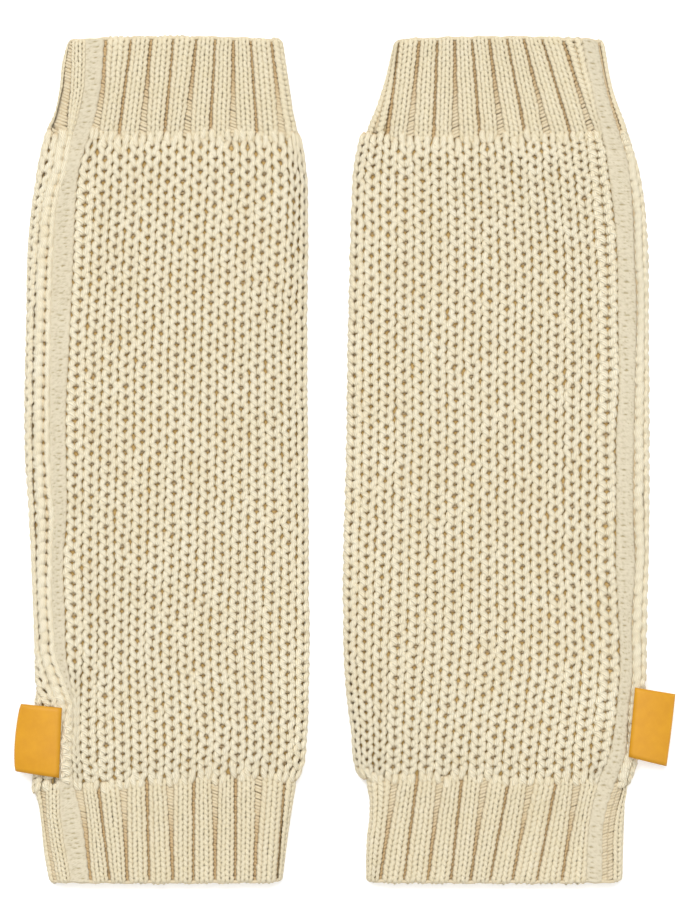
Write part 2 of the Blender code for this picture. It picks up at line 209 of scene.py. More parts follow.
LEFT = Plan(
    side=Side.LEFT,
    body=Rows((
        (-113.0, -111.0, -16.6), (-108.0, -110.6, -15.0), (-97.5, -110.2, -13.9), (-81.5, -109.9, -13.3),
        (-34.0, -111.3, -13.3), (3.5, -113.5, -13.6), (46.0, -113.1, -13.9), (83.0, -111.7, -13.6),
        (104.0, -108.9, -14.3), (115.7, -106.4, -16.3),
    )),
    upper_cuff=Rows((
        (115.7, -106.6, -16.6), (118.5, -105.1, -17.4), (122.0, -103.5, -18.2), (131.0, -101.4, -19.6),
        (141.5, -100.3, -21.1), (150.0, -98.4, -22.2),
    )),
    lower_cuff=Rows((
        (-150.0, -104.8, -22.6), (-138.0, -106.7, -21.1), (-125.0, -107.9, -19.2),
        (-118.0, -108.9, -18.0), (-113.0, -110.6, -17.2),
    )),
    columns=Rows((
        (-113.0, -92.6, -58.8, -25.0), (-99.0, -94.0, -58.2, -23.9), (-67.0, -93.0, -59.6, -23.5),
        (-32.0, -93.2, -58.5, -22.8), (3.5, -92.6, -57.5, -22.5), (39.0, -91.7, -56.8, -22.8),
        (74.0, -89.7, -55.8, -21.2), (106.0, -88.0, -54.3, -20.4), (115.7, -87.5, -54.0, -21.4),
    )),
    last_column=14,
    band=Rows((
        (-150.0, -97.6, -90.4), (-120.0, -101.6, -94.2), (-112.0, -101.7, -95.9), (-99.0, -100.6, -96.6),
        (-88.0, -98.6, -95.9), (-84.3, -98.3, -95.9), (-81.2, -99.1, -96.4), (-77.3, -100.2, -97.2),
        (-69.5, -102.8, -98.6), (-53.9, -103.9, -99.2), (-38.3, -104.3, -99.8), (-15.0, -104.0, -98.4),
        (-7.2, -104.6, -98.5), (16.2, -104.8, -98.9), (39.6, -104.7, -97.7), (55.1, -104.4, -97.0),
        (70.7, -103.8, -96.3), (86.3, -102.9, -95.7), (94.1, -102.1, -95.2), (101.9, -100.4, -94.3),
        (109.7, -98.8, -92.2), (116.0, -97.0, -90.0), (129.5, -93.4, -87.0), (150.0, -92.5, -85.3),
    )),
    seam_holes=Rows((
        (-113.0, -103.9, -108.9), (-99.0, -101.4, -106.4), (-88.0, -99.2, -103.4), (-84.3, -98.9, -102.6),
        (-81.2, -100.2, -104.6), (-77.4, -101.4, -105.9), (-73.9, -102.9, -107.2),
        (-69.5, -104.4, -108.5), (-59.0, -105.4, -109.4), (-46.0, -106.1, -110.0),
        (-32.0, -105.8, -110.5), (-18.0, -105.5, -111.2), (-9.0, -106.2, -111.6), (0.0, -106.6, -111.8),
        (39.6, -106.6, -111.5), (62.0, -106.3, -110.8), (78.5, -105.4, -109.6), (86.3, -104.8, -108.7),
        (94.1, -103.4, -107.1), (101.9, -100.9, -105.0), (109.7, -99.5, -103.3), (115.7, -98.4, -102.1),
    )),
    upper_valleys=Rows((
        (115.7, -80.1, -71.8, -64.0, -56.2, -47.9, -39.8, -31.4, -22.5),
        (150.0, -75.7, -68.7, -60.8, -52.7, -46.1, -39.8, -33.7, -26.4),
    )),
    lower_valleys=Rows((
        (-150.0, -83.3, -77.1, -69.4, -61.1, -53.9, -46.2, -39.1, -32.3, -24.6),
        (-113.0, -87.4, -78.6, -70.3, -62.1, -53.7, -46.2, -38.9, -30.8, -21.6),
    )),
    wide_valleys=0,
    upper_side=Rows((
        (115.7, 1.4, 8.5), (119.0, 2.0, 6.8), (124.0, 3.4, 5.2), (131.0, 4.3, 4.2), (144.0, 4.5, 3.0),
        (150.0, 4.5, 2.4),
    )),
    lower_side=Rows(((-150.0, 4.6, 2.0), (-113.0, 4.6, 2.0))),
    stitched_edge=True,
    lapped_below=-84.0,
    dents=((0.24, 0.07, 0.26, 0.0, 1), (0.34, 0.07, 0.20, 0.6, 2), (0.58, 0.08, 0.40, 0.4, 1),
           (0.46, 0.22, 0.08, 0.4, 1), (0.78, 0.10, 0.10, 0.8, 2)),
    dip=4.0,
    row_rise=Rows((
        (-113.0, 0.0, 0.0, 0.5), (-107.9, -0.7, 0.0, 1.0), (-76.9, -2.6, 1.0, 1.5),
        (-41.2, -1.6, 0.5, 1.1), (-4.5, -0.9, -0.2, 0.8), (33.6, -0.2, -0.4, -1.3),
        (71.0, 0.2, -0.5, -2.5), (111.4, -0.8, -0.6, -1.8), (115.7, -0.2, -0.2, -0.8),
    )),
    label=((-100.2, -87.5), (-101.2, -112.3), (-116.7, -110.2), (-114.7, -86.3)),
    label_bulge=1.1,
    stitch_rows=((0, 111.4), (9, 75.0), (19, 37.4), (29, -0.8), (39, -37.6), (49, -73.4),
                 (59, -107.9)),
)

RIGHT = Plan(
    side=Side.RIGHT,
    body=Rows((
        (-113.0, 5.8, 99.7), (-110.8, 4.2, 101.0), (-108.0, 3.2, 102.2), (-97.5, 2.2, 105.0),
        (-81.5, 0.2, 106.0), (-50.0, -0.9, 106.7), (3.5, 0.2, 107.4), (46.0, 0.9, 107.1),
        (83.0, 1.9, 106.4), (104.0, 3.0, 103.2), (115.7, 5.3, 99.9),
    )),
    upper_cuff=Rows(((115.7, 6.4, 100.2), (131.0, 12.6, 94.7), (150.0, 17.3, 91.2))),
    lower_cuff=Rows((
        (-150.0, 6.9, 97.6), (-134.6, 7.2, 97.9), (-124.0, 8.2, 98.3), (-118.7, 7.9, 98.6),
        (-113.0, 6.4, 99.6),
    )),
    columns=Rows((
        (-113.0, 85.5, 48.6, 13.4), (-99.0, 86.9, 49.7, 14.3), (-67.0, 89.7, 52.9, 15.0),
        (-32.0, 88.3, 53.3, 16.1), (3.5, 88.5, 53.6, 17.2), (39.0, 89.0, 53.6, 17.5),
        (74.0, 88.3, 54.0, 17.9), (106.0, 85.5, 52.9, 18.2), (115.7, 84.6, 52.3, 18.8),
    )),
    last_column=15,
    band=Rows((
        (-150.0, 90.7, 84.5), (-123.0, 92.0, 86.2), (-112.3, 95.2, 88.8), (-102.0, 98.9, 93.1),
        (-92.8, 99.5, 95.0), (-85.0, 100.2, 95.8), (-77.3, 101.1, 96.6), (-53.9, 101.2, 96.2),
        (-38.3, 102.3, 95.3), (-22.7, 101.7, 95.5), (-7.2, 101.6, 95.5), (8.4, 101.9, 95.5),
        (24.0, 102.2, 96.4), (39.6, 102.7, 96.3), (55.1, 102.8, 96.0), (70.7, 102.1, 95.9),
        (86.3, 101.6, 94.8), (94.1, 101.1, 93.8), (101.9, 100.4, 92.7), (109.7, 98.7, 91.7),
        (116.0, 96.6, 89.9), (129.5, 92.7, 86.9), (150.0, 88.9, 83.1),
    )),
    seam_holes=Rows((
        (-113.0, 95.4, 99.6), (-108.4, 96.9, 100.8), (-102.0, 99.2, 102.6), (-85.0, 100.6, 104.3),
        (-77.3, 101.5, 104.8), (-53.9, 101.5, 105.0), (-38.3, 102.8, 105.8), (-15.0, 101.9, 106.0),
        (8.4, 102.3, 105.8), (24.0, 102.5, 105.8), (55.1, 103.2, 105.8), (70.7, 102.5, 105.3),
        (86.3, 102.1, 104.8), (94.1, 101.4, 104.1), (101.9, 100.5, 102.9), (109.7, 98.9, 101.3),
        (115.7, 97.0, 99.3),
    )),
    upper_valleys=Rows((
        (115.7, 87.0, 79.3, 71.2, 63.3, 55.0, 47.3, 38.8, 31.1, 22.8, 15.0),
        (150.0, 76.3, 69.0, 62.6, 56.7, 50.5, 44.5, 38.5, 32.4, 26.1, 19.1),
    )),
    lower_valleys=Rows((
        (-150.0, 76.1, 67.3, 58.7, 50.7, 43.9, 37.0, 28.8, 20.4, 12.0),
        (-113.0, 81.7, 74.1, 65.3, 57.4, 48.9, 40.9, 33.3, 25.1, 17.4),
    )),
    wide_valleys=1,
    upper_side=Rows(((115.7, 0.0, 1.6), (150.0, 0.0, 1.6))),
    lower_side=Rows(((-150.0, 0.0, 4.1), (-113.0, 0.0, 4.1))),
    stitched_edge=False,
    lapped_below=-200.0,
    dents=((0.58, 0.09, 0.60, 0.4, 2), (0.58, 0.07, 0.28, 1.4, 2), (0.50, 0.34, 0.07, 0.4, 1),
           (0.94, 0.06, 0.24, 0.0, 1), (0.16, 0.07, 0.22, 0.8, 1)),
    dip=2.5,
    row_rise=Rows((
        (-113.0, 0.0, 0.0, -0.4), (-107.6, -0.3, -0.2, -1.0), (-75.5, -1.0, 0.0, -2.5),
        (-38.3, 1.9, -0.4, -3.0), (-0.4, 3.9, -0.5, -2.9), (37.8, 3.6, -0.7, -3.9),
        (75.7, 2.7, -0.7, -3.5), (110.0, 1.2, -0.4, 0.5), (115.7, 0.2, 0.0, 0.0),
    )),
    label=((102.1, -80.4), (99.8, -104.9), (113.3, -108.4), (116.5, -82.9)),
    label_bulge=0.1,
    stitch_rows=((0, 110.0), (10, 75.7), (20, 37.8), (30, -0.4), (40, -38.3), (50, -75.5),
                 (59, -107.6)),
)


def ease(share: np.ndarray | float) -> np.ndarray:
    """A smooth step from 0 to 1."""
    share = np.clip(share, 0.0, 1.0)
    return share * share * (3 - 2 * share)


def linear(colour: str) -> tuple[float, float, float, float]:
    """Turns an sRGB hex colour to linear light.

    Args:
        colour: six hex digits, with or without a leading hash.

    Returns:
        Red, green, blue and an alpha of 1.
    """
    digits = colour.lstrip("#")
    channels = [int(digits[i:i + 2], 16) / 255 for i in (0, 2, 4)]
    return (*(c / 12.92 if c <= 0.04045 else ((c + 0.055) / 1.055) ** 2.4 for c in channels), 1.0)


def smooth_path(points: Sequence[Sequence[float]], count: int) -> np.ndarray:
    """Spreads points evenly along a smooth curve through the given ones.

    Args:
        points: the points that the curve goes through.
        count: how many points to return.

    Returns:
        An array of count rows.
    """
    given = np.array(points, float)
    padded = np.vstack([2 * given[0] - given[1], given, 2 * given[-1] - given[-2]])
    t = np.linspace(0, len(given) - 1, 24 * len(given))
    i = np.minimum(t.astype(int), len(given) - 2)
    f = (t - i)[:, None]
    a, b, c, d = (padded[i + k] for k in range(4))
    fine = 0.5 * (2 * b + (c - a) * f + (2 * a - 5 * b + 4 * c - d) * f**2
                  + (3 * b - a - 3 * c + d) * f**3)
    return evenly(fine, count)


def walked(line: np.ndarray) -> np.ndarray:
    """How far along a line each of its points is."""
    return np.r_[0, np.cumsum(np.linalg.norm(np.diff(line, axis=0), axis=1))]


def evenly(line: np.ndarray, count: int) -> np.ndarray:
    """Spreads points evenly along a line.

    Args:
        line: the line's own points.
        count: how many points to return.

    Returns:
        An array of count rows.
    """
    along = walked(line)
    wanted = np.linspace(0, along[-1], count)
    return np.stack([np.interp(wanted, along, line[:, k]) for k in range(line.shape[1])], axis=1)


def unit(vectors: np.ndarray) -> np.ndarray:
    """The same directions with a length of 1."""
    return vectors / np.linalg.norm(vectors, axis=-1, keepdims=True)


@dataclass
class LaidTube:
    """The ground of one flattened tube, read by the place around it and the height along it.

    Places around run from 0 at the seam's side over the upper layer to 1 at the far side, and on
    through the rounded foot and the flat underside to 2, back at the seam's side.
    """

    plan: Plan
    part: Part
    start: float
    end: float
    relief: float
    hem: float = 0.0
    around_steps: int = 240
    heights: np.ndarray = field(init=False)
    numbers: dict[str, np.ndarray] = field(init=False)
    grid: np.ndarray = field(init=False)

    def __post_init__(self) -> None:
        """Works out the tube's outline at close heights."""
        self.heights = np.linspace(self.start, self.end, int(abs(self.end - self.start)) + 2)
        found = [self._outline(y) for y in self.heights]
        self.grid = np.array([outline for outline, _ in found])
        self.numbers = {key: np.array([numbers[key] for _, numbers in found]) for key in found[0][1]}

    @property
    def node(self) -> str:
        """The name of the node that the tube dresses."""
        return f"{self.plan.side.word}_{self.part.value}"

    @property
    def joint(self) -> float:
        """The height of a cuff's joint with the body."""
        return LOWER_JOINT if self.hem < 0 else UPPER_JOINT

    def _outline(self, y: float) -> tuple[np.ndarray, dict[str, float]]:
        """Works out the outline at one height.

        Args:
            y: the height.

        Returns:
            Rows of x, z and the outward normal for every place around, and the section's sizes.
        """
        edges = {Part.BODY: self.plan.body, Part.UPPER_CUFF: self.plan.upper_cuff}
        left, right = edges.get(self.part, self.plan.lower_cuff).at(y)
        flip = self.plan.side.value
        low, high = sorted((left * flip, right * flip))
        low, high = low + self.relief - FIBRE, high - self.relief + FIBRE
        share = float(ease(min(y - LOWER_JOINT, UPPER_JOINT - y) / SWELL))
        top = CUFF_TOP + (BODY_TOP - CUFF_TOP) * share
        shoulder = CUFF_SHOULDER + (BODY_SHOULDER - CUFF_SHOULDER) * share
        near, far = low + shoulder, high - shoulder
        turn = np.linspace(0, math.pi / 2, TURN_STEPS + 1)
        drop = top - WAIST
        steps = np.hypot(np.diff(shoulder * np.sin(turn)), np.diff(drop * np.cos(turn)))
        walk = np.r_[0, np.cumsum(steps)]
        near_end, far_end = near - walk[-1], far + walk[-1]

        across = np.linspace(near_end, far_end, self.around_steps + 1)
        past = np.maximum(np.maximum(near - across, across - far), 0)
        angle = np.interp(past, walk, turn)
        way = np.where(across < near, -1, 1)
        upper = np.stack([np.clip(across, near, far) + way * shoulder * np.sin(angle),
                          WAIST + drop * np.cos(angle)], axis=1)
        foot = np.stack([FOOT * np.cos(turn), WAIST * (1 - np.sin(turn))], axis=1)
        under = np.vstack([foot + (high - FOOT, 0), (foot * (-1, 1))[::-1] + (low + FOOT, 0)])
        along = walked(under)

        outline = np.vstack([upper, evenly(under, self.around_steps + 1)[1:]])
        run = unit(np.roll(outline[:-1], -1, axis=0) - np.roll(outline[:-1], 1, axis=0))
        normal = np.stack([-run[:, 1], run[:, 0]], axis=1)
        normal = np.vstack([normal, normal[:1]])
        sizes = {"low": low, "high": high, "top": top, "near": near, "far": far, "near_end": near_end,
                 "far_end": far_end, "under": along[-1], "foot": along[TURN_STEPS] / along[-1],
                 "shoulder": shoulder}
        return np.hstack([outline, normal]), sizes

    def size(self, key: str, y: np.ndarray | float) -> np.ndarray:
        """One of the section's sizes at the heights y."""
        return np.interp(y, self.heights, self.numbers[key])

    def unroll(self, x: np.ndarray, y: np.ndarray) -> np.ndarray:
        """Turns places seen from above into distances along the upper layer.

        Args:
            x: places across, with the seam's side low.
            y: their heights.

        Returns:
            The same places as the cloth would lie unrolled.
        """
        near, far, shoulder = (self.size(key, y) for key in ("near", "far", "shoulder"))
        past = np.maximum(np.maximum(near - x, x - far), 0)
        drop = self.size("top", y) - WAIST
        angle = np.arcsin(np.clip(past / shoulder, 0, 1))
        steps = angle[..., None] * np.linspace(0, 1, WALK_STEPS)
        run, fall = shoulder[..., None] * np.sin(steps), drop[..., None] * np.cos(steps)
        way = np.hypot(np.diff(run), np.diff(fall)).sum(axis=-1)
        return np.where(x < near, near - way, np.where(x > far, far + way, x))

    def around(self, across: np.ndarray, y: np.ndarray) -> np.ndarray:
        """The place around of an unrolled distance on the upper layer."""
        first, last = self.size("near_end", y), self.size("far_end", y)
        return (across - first) / (last - first)

    def swell(self, around: np.ndarray, y: np.ndarray) -> np.ndarray:
        """Tells how far the relief stands out.

        Args:
            around: places around.
            y: their heights.

        Returns:
            1 on the upper layer, and down to 0 where the cloth rests on the surface.
        """
        foot = self.size("foot", y)
        past = np.minimum(around % 2 - 1, 2 - around % 2)
        return 1 - ease(past / foot)

    def place(
        self, around: np.ndarray, y: np.ndarray, lift: np.ndarray
    ) -> tuple[np.ndarray, np.ndarray]:
        """Finds points over the tube's ground.

        Args:
            around: places around.
            y: heights, before the joints dip and the hems are crowned.
            lift: distances out from the ground.

        Returns:
            The points in millimetres, and the ground's outward normals there.
        """
        around, y, lift = np.broadcast_arrays(around, y, lift)
        column = (around % 2) * self.around_steps
        c = np.minimum(column.astype(int), 2 * self.around_steps - 1)
        row = np.clip((y - self.start) / (self.end - self.start), 0, 1) * (len(self.heights) - 1)
        r = np.minimum(row.astype(int), len(self.heights) - 2)
        cf, rf = (column - c)[..., None], (row - r)[..., None]
        first = self.grid[r, c] * (1 - cf) + self.grid[r, c + 1] * cf
        second = self.grid[r + 1, c] * (1 - cf) + self.grid[r + 1, c + 1] * cf
        found = first * (1 - rf) + second * rf
        normal = unit(found[..., 2:])
        x, z = (found[..., k] + lift * normal[..., k] for k in (0, 1))
        flip = self.plan.side.value
        points = np.stack([flip * x, self.bent(x, y), z], axis=-1)
        return points, np.stack([flip * normal[..., 0], np.zeros_like(x), normal[..., 1]], axis=-1)

    def bent(self, x: np.ndarray, y: np.ndarray) -> np.ndarray:
        """Lets the lower joint dip towards the seam, and crowns and waves the hems.

        Args:
            x: places across, with the seam's side low.
            y: their heights as if the tube were straight.

        Returns:
            Their heights as it lies.
        """
        low, high = self.size("low", y), self.size("high", y)
        across = (x - low) / (high - low)
        if self.part is Part.BODY:
            share = np.clip((y - LOWER_JOINT) / (UPPER_JOINT - LOWER_JOINT), 0, 1)
            return y - self.plan.dip * (1 - share) ** DIP_FADE * (1 - across)
        share = (y - self.hem) / (self.joint - self.hem)
        crown = (-HEM_CROWNS[0] if self.hem < 0 else HEM_CROWNS[1]) * (1 - share)
        dip = self.plan.dip * share * (1 - across) if self.hem < 0 else 0.0
        slow, quick = (np.sin(turns * x) for turns in HEM_WAVE_TURNS)
        wave = HEM_WAVE * slow * quick * (1 - share) ** 2
        return y - dip - crown * (2 * across - 1) ** 2 + wave

    def rise(self, across: np.ndarray, y: np.ndarray) -> np.ndarray:
        """How far the body's rows have drifted up at a place.

        Args:
            across: unrolled distances on the upper layer.
            y: heights of the rows.

        Returns:
            The drift, on a curve through those of the near, the middle and the far columns.
        """
        if self.part is not Part.BODY:
            return 0.0 * across
        first, last = self.size("near_end", y), self.size("far_end", y)
        share = np.clip((across - first) / (last - first), *RISE_LIMITS)
        drifts = np.moveaxis(self.plan.row_rise.at(y), -1, 0)
        found = 0.0 * share
        for place, drift in zip(RISE_PLACES, drifts):
            for other in RISE_PLACES:
                if other != place:
                    drift = drift * (share - other) / (place - other)
            found = found + drift
        return found

    def turned(self, y: np.ndarray) -> tuple[np.ndarray, np.ndarray]:
        """Turns a cuff's knit in over its hem, and down under the body's first row.

        Args:
            y: heights as if the cuff ran on flat.

        Returns:
            The heights where the yarn comes to lie, and how far it sinks there.
        """
        if not self.hem:
            return y, 0.0 * y
        way = math.copysign(1, self.hem)
        angle = np.clip((HEM_ROLL + HEM_YARN - (self.hem - y) * way) / HEM_ROLL, 0, HEM_TURN)
        tucked = (TUCK_DEPTH * ease(1 - (y - self.joint) * way / TUCK_LENGTH)
                  + TUCK_SLOPE * np.maximum((self.joint - y) * way - 1, 0))
        edge = self.hem - way * (HEM_YARN + HEM_ROLL * (1 - np.sin(angle)))
        return np.where(angle > 0, edge, y), HEM_ROLL * (1 - np.cos(angle)) + tucked

    def band_edges(self, y: np.ndarray) -> tuple[np.ndarray, np.ndarray]:
        """Finds the seam band on the upper layer.

        Args:
            y: heights.

        Returns:
            The band's outer and inner edge there, unrolled.
        """
        outer, inner = np.moveaxis(self.plan.band.at(y) * self.plan.side.value, -1, 0)
        outer = np.maximum(self.unroll(outer, y), self.size("near_end", y) + BAND_ROOM)
        return outer, self.unroll(inner, y)


@dataclass(frozen=True)
class Loop:
    """The form of a length of yarn in the knit.

    Its path is across in half widths of its column, along in rows, lift in millimetres and girth
    as a share of the radius. The radius is that in a column of the given width.
    """

    path: tuple[tuple[float, float, float, float], ...]
    radius: float
    rings: int
    sides: int
    width: float = 1.0
    flat: float = 1.0


@dataclass
class Yarns:
    """Lengths of yarn that go into one piece."""

    points: list[np.ndarray] = field(default_factory=list)
    corners: list[np.ndarray] = field(default_factory=list)
    starts: list[np.ndarray] = field(default_factory=list)
    unrolled: list[np.ndarray] = field(default_factory=list)
    tones: list[np.ndarray] = field(default_factory=list)
    painted_shades: list[np.ndarray] = field(default_factory=list)
    vertex_count: int = 0
    corner_count: int = 0

    def lay(self, line: np.ndarray, normal: np.ndarray, radius: np.ndarray, sides: int, flat: float,
            tone: np.ndarray, depth: np.ndarray) -> None:
        """Adds closed lengths of yarn with the same number of rings.

        Args:
            line: the middle of each length, as lengths x rings x 3.
            normal: the cloth's normal at those points.
            radius: the yarn's radius at those points.
            sides: how many sides the yarn has.
            flat: the yarn's thickness over its width.
            tone: how light each length is, about 0.
            depth: how deep in the knit each ring lies, from 0 to 1, which is how much shade the finish
                paints on it.
        """
        count, rings = line.shape[:2]
        along = unit(np.gradient(line, axis=1))
        side = unit(np.cross(along, normal))
        up = np.cross(side, along)
        turn = np.arange(sides) * 2 * math.pi / sides
        wide = (radius[..., None] * np.cos(turn))[..., None]
        high = (radius[..., None] * np.sin(turn) * flat)[..., None]
        ring = line[:, :, None] + wide * side[:, :, None] + high * up[:, :, None]
        # The surface that the yarn rests on presses it flat
        ring[..., 2] = np.maximum(ring[..., 2], PRESSED)

        index = self.vertex_count + np.arange(count * rings * sides).reshape(count, rings, sides)
        beside = np.roll(index, -1, axis=2)
        quads = np.stack([index[:, :-1], index[:, 1:], beside[:, 1:], beside[:, :-1]], axis=-1)
        way = np.cumsum(np.linalg.norm(np.diff(line, axis=1), axis=-1), axis=1)
        way = np.concatenate([np.zeros((count, 1)), way], axis=1)
        girth = 2 * math.pi * radius.mean() / sides
        u = np.broadcast_to(way[:, :, None], index.shape)
        u = np.stack([u[:, :-1], u[:, 1:], u[:, 1:], u[:, :-1]], axis=-1)
        v = np.broadcast_to(np.arange(sides) * girth, index.shape)
        v = np.stack([v[:, :-1], v[:, 1:], v[:, 1:] + girth, v[:, :-1] + girth], axis=-1)
        ends = np.stack([index[:, 0], index[:, -1, ::-1]], axis=1)
        end_uv = np.zeros((ends.size, 2))

        self.points.append(ring.reshape(-1, 3))
        self.corners += [quads.reshape(-1), ends.reshape(-1)]
        self.starts += [self.corner_count + 4 * np.arange(quads.size // 4),
                        self.corner_count + quads.size + sides * np.arange(2 * count)]
        self.unrolled += [np.stack([u.reshape(-1), v.reshape(-1)], axis=1), end_uv]
        self.tones.append(np.repeat(tone, rings * sides))
        self.painted_shades.append(np.repeat(depth.reshape(-1), sides))
        self.vertex_count += count * rings * sides
        self.corner_count += quads.size + ends.size

    def back_up(self, tube: LaidTube, across: np.ndarray, lift: float, girth: np.ndarray | float,
                depth: float) -> None:
        """Lays the flat yarn that shows through the gaps along a line.

        Args:
            tube: the tube that it lies on.
            across: the line, as distances over the upper layer at each of the tube's heights.
            lift: how far out from the ground it lies.
            girth: half its width, at each of those heights or everywhere.
            depth: how deep in the knit it lies, from 0 to 1, which is how much shade the finish paints on
                it.
        """
        first, last = (tube.hem * BACKING_END if end == tube.hem else end
                       for end in (tube.start, tube.end))
        y = np.linspace(first, last, max(BACKING_RINGS, int((last - first) / BACKING_STEP)))[None]
        around = tube.around(np.interp(y, tube.heights, across), y)
        line, normal = tube.place(around, y, np.full(y.shape, lift))
        girth = np.interp(y, tube.heights, girth + 0 * tube.heights)
        self.lay(line, normal, girth, 4, BACKING_FLAT, np.zeros(1), np.full(y.shape, depth))

    def piece(self, name: str, material: bpy.types.Material) -> bpy.types.Object:
        """Makes one object of every length so far.

        Args:
            name: the piece's name.
            material: its finish.

        Returns:
            The new object.
        """
        return mesh_piece(name, np.vstack(self.points), np.concatenate(self.corners),
                          np.concatenate(self.starts), np.vstack(self.unrolled), material,
                          {"tone": np.concatenate(self.tones), "depth": np.concatenate(self.painted_shades)})


def new_item(name: str, data: bpy.types.ID) -> bpy.types.Object:
    """Adds an object to the scene.

    Args:
        name: its name.
        data: its mesh, lamp or camera.

    Returns:
        The new object.
    """
    item = bpy.data.objects.new(name, data)
    bpy.context.collection.objects.link(item)
    return item


def mesh_piece(name: str, points: np.ndarray, corners: np.ndarray, starts: np.ndarray,
               unrolled: np.ndarray, material: bpy.types.Material,
               values: dict[str, np.ndarray]) -> bpy.types.Object:
    """Makes a smooth mesh object.

    Args:
        name: the piece's name.
        points: its points, in millimetres.
        corners: the point of every face corner, face after face.
        starts: the first corner of every face.
        unrolled: the UV of every corner, in millimetres.
        material: its finish.
        values: named values of every point that the finish reads.

    Returns:
        The new object.
    """
    mesh = bpy.data.meshes.new(name)
    mesh.vertices.add(len(points))
    mesh.vertices.foreach_set("co", (points * MM).astype(np.float32).ravel())
    mesh.loops.add(len(corners))
    mesh.loops.foreach_set("vertex_index", corners.astype(np.int32))
    mesh.polygons.add(len(starts))
    mesh.polygons.foreach_set("loop_start", starts.astype(np.int32))
    mesh.update(calc_edges=True)
    mesh.uv_layers.new(name="UVMap").data.foreach_set("uv", unrolled.astype(np.float32).ravel())
    for key, value in values.items():
        mesh.attributes.new(key, "FLOAT", "POINT").data.foreach_set("value", value.astype(np.float32))
    mesh.shade_smooth()
    mesh.materials.append(material)
    return new_item(name, mesh)


def grid_piece(name: str, rows: np.ndarray, material: bpy.types.Material,
               lids: bool = False, depth: np.ndarray | None = None) -> bpy.types.Object:
    """Makes a smooth object from rings of points.

    Args:
        name: the piece's name.
        rows: points in millimetres, as rings x points x 3.
        material: its finish.
        lids: whether the first and the last ring are closed across, each from its first half to its
            second one; else the last ring meets the first one.
        depth: how deep in the knit each point lies, from 0 to 1, which is how much shade the finish
            paints on it; 0 if not given.

    Returns:
        The new object, with a UV map in millimetres.
    """
    across = np.linalg.norm(np.roll(rows, -1, axis=1) - rows, axis=-1).mean(axis=0)
    down = np.linalg.norm(np.roll(rows, -1, axis=0) - rows, axis=-1).mean(axis=1)
    u, v = np.r_[0, np.cumsum(across)], np.r_[0, np.cumsum(down)]
    count, width = rows.shape[:2]
    index = np.arange(count * width).reshape(count, width)
    i, j = np.meshgrid(np.arange(count - 1 if lids else count), np.arange(width), indexing="ij")
    below, beside = (i + 1) % count, (j + 1) % width
    quads = np.stack([index[i, j], index[i, beside], index[below, beside], index[below, j]], axis=-1)
    uv = np.stack([np.stack([u[j], u[j + 1], u[j + 1], u[j]], axis=-1),
                   np.stack([v[i], v[i], v[i + 1], v[i + 1]], axis=-1)], axis=-1)
    quads, uv = quads.reshape(-1, 4), uv.reshape(-1, 4, 2)
    if lids:
        k = np.arange(width // 2 - 1)
        lid = np.stack([k, width - 1 - k, width - 2 - k, k + 1], axis=-1)
        quads = np.concatenate([quads, index[0][lid], index[-1][lid[:, ::-1]]])
        uv = np.concatenate([uv, np.zeros((2 * len(k), 4, 2))])
    zero = np.zeros(count * width)
    return mesh_piece(name, rows.reshape(-1, 3), quads.reshape(-1), 4 * np.arange(len(quads)),
                      uv.reshape(-1, 2), material,
                      {"tone": zero, "depth": zero if depth is None else depth.reshape(-1)})


def add_node(tree: bpy.types.NodeTree, kind: str, settings: dict[str, object] | None = None,
             links: dict[str, bpy.types.NodeSocket] | None = None) -> bpy.types.Node:
    """Adds a shader node.

    Args:
        tree: the material's node tree.
        kind: the node's type.
        settings: values for its properties, or for its inputs by name or number.
        links: sockets that feed its inputs, by name or number.

    Returns:
        The new node.
    """
    node = tree.nodes.new(kind)
    for key, value in (settings or {}).items():
        if isinstance(key, str) and hasattr(node, key):
            setattr(node, key, value)
        else:
            node.inputs[key].default_value = value
    for key, socket in (links or {}).items():
        tree.links.new(socket, node.inputs[key])
    return node


def new_finish(
    name: str, looks: dict[str, object]
) -> tuple[bpy.types.Material, bpy.types.NodeTree, bpy.types.Node]:
    """Starts a finish.

    Args:
        name: the material's name.
        looks: values for the inputs of its Principled shader.

    Returns:
        The new material, its tree and that shader.
    """
    material = bpy.data.materials.new(name)
    material.use_nodes = True
    shader = material.node_tree.nodes["Principled BSDF"]
    for socket, value in looks.items():
        shader.inputs[socket].default_value = value
    return material, material.node_tree, shader


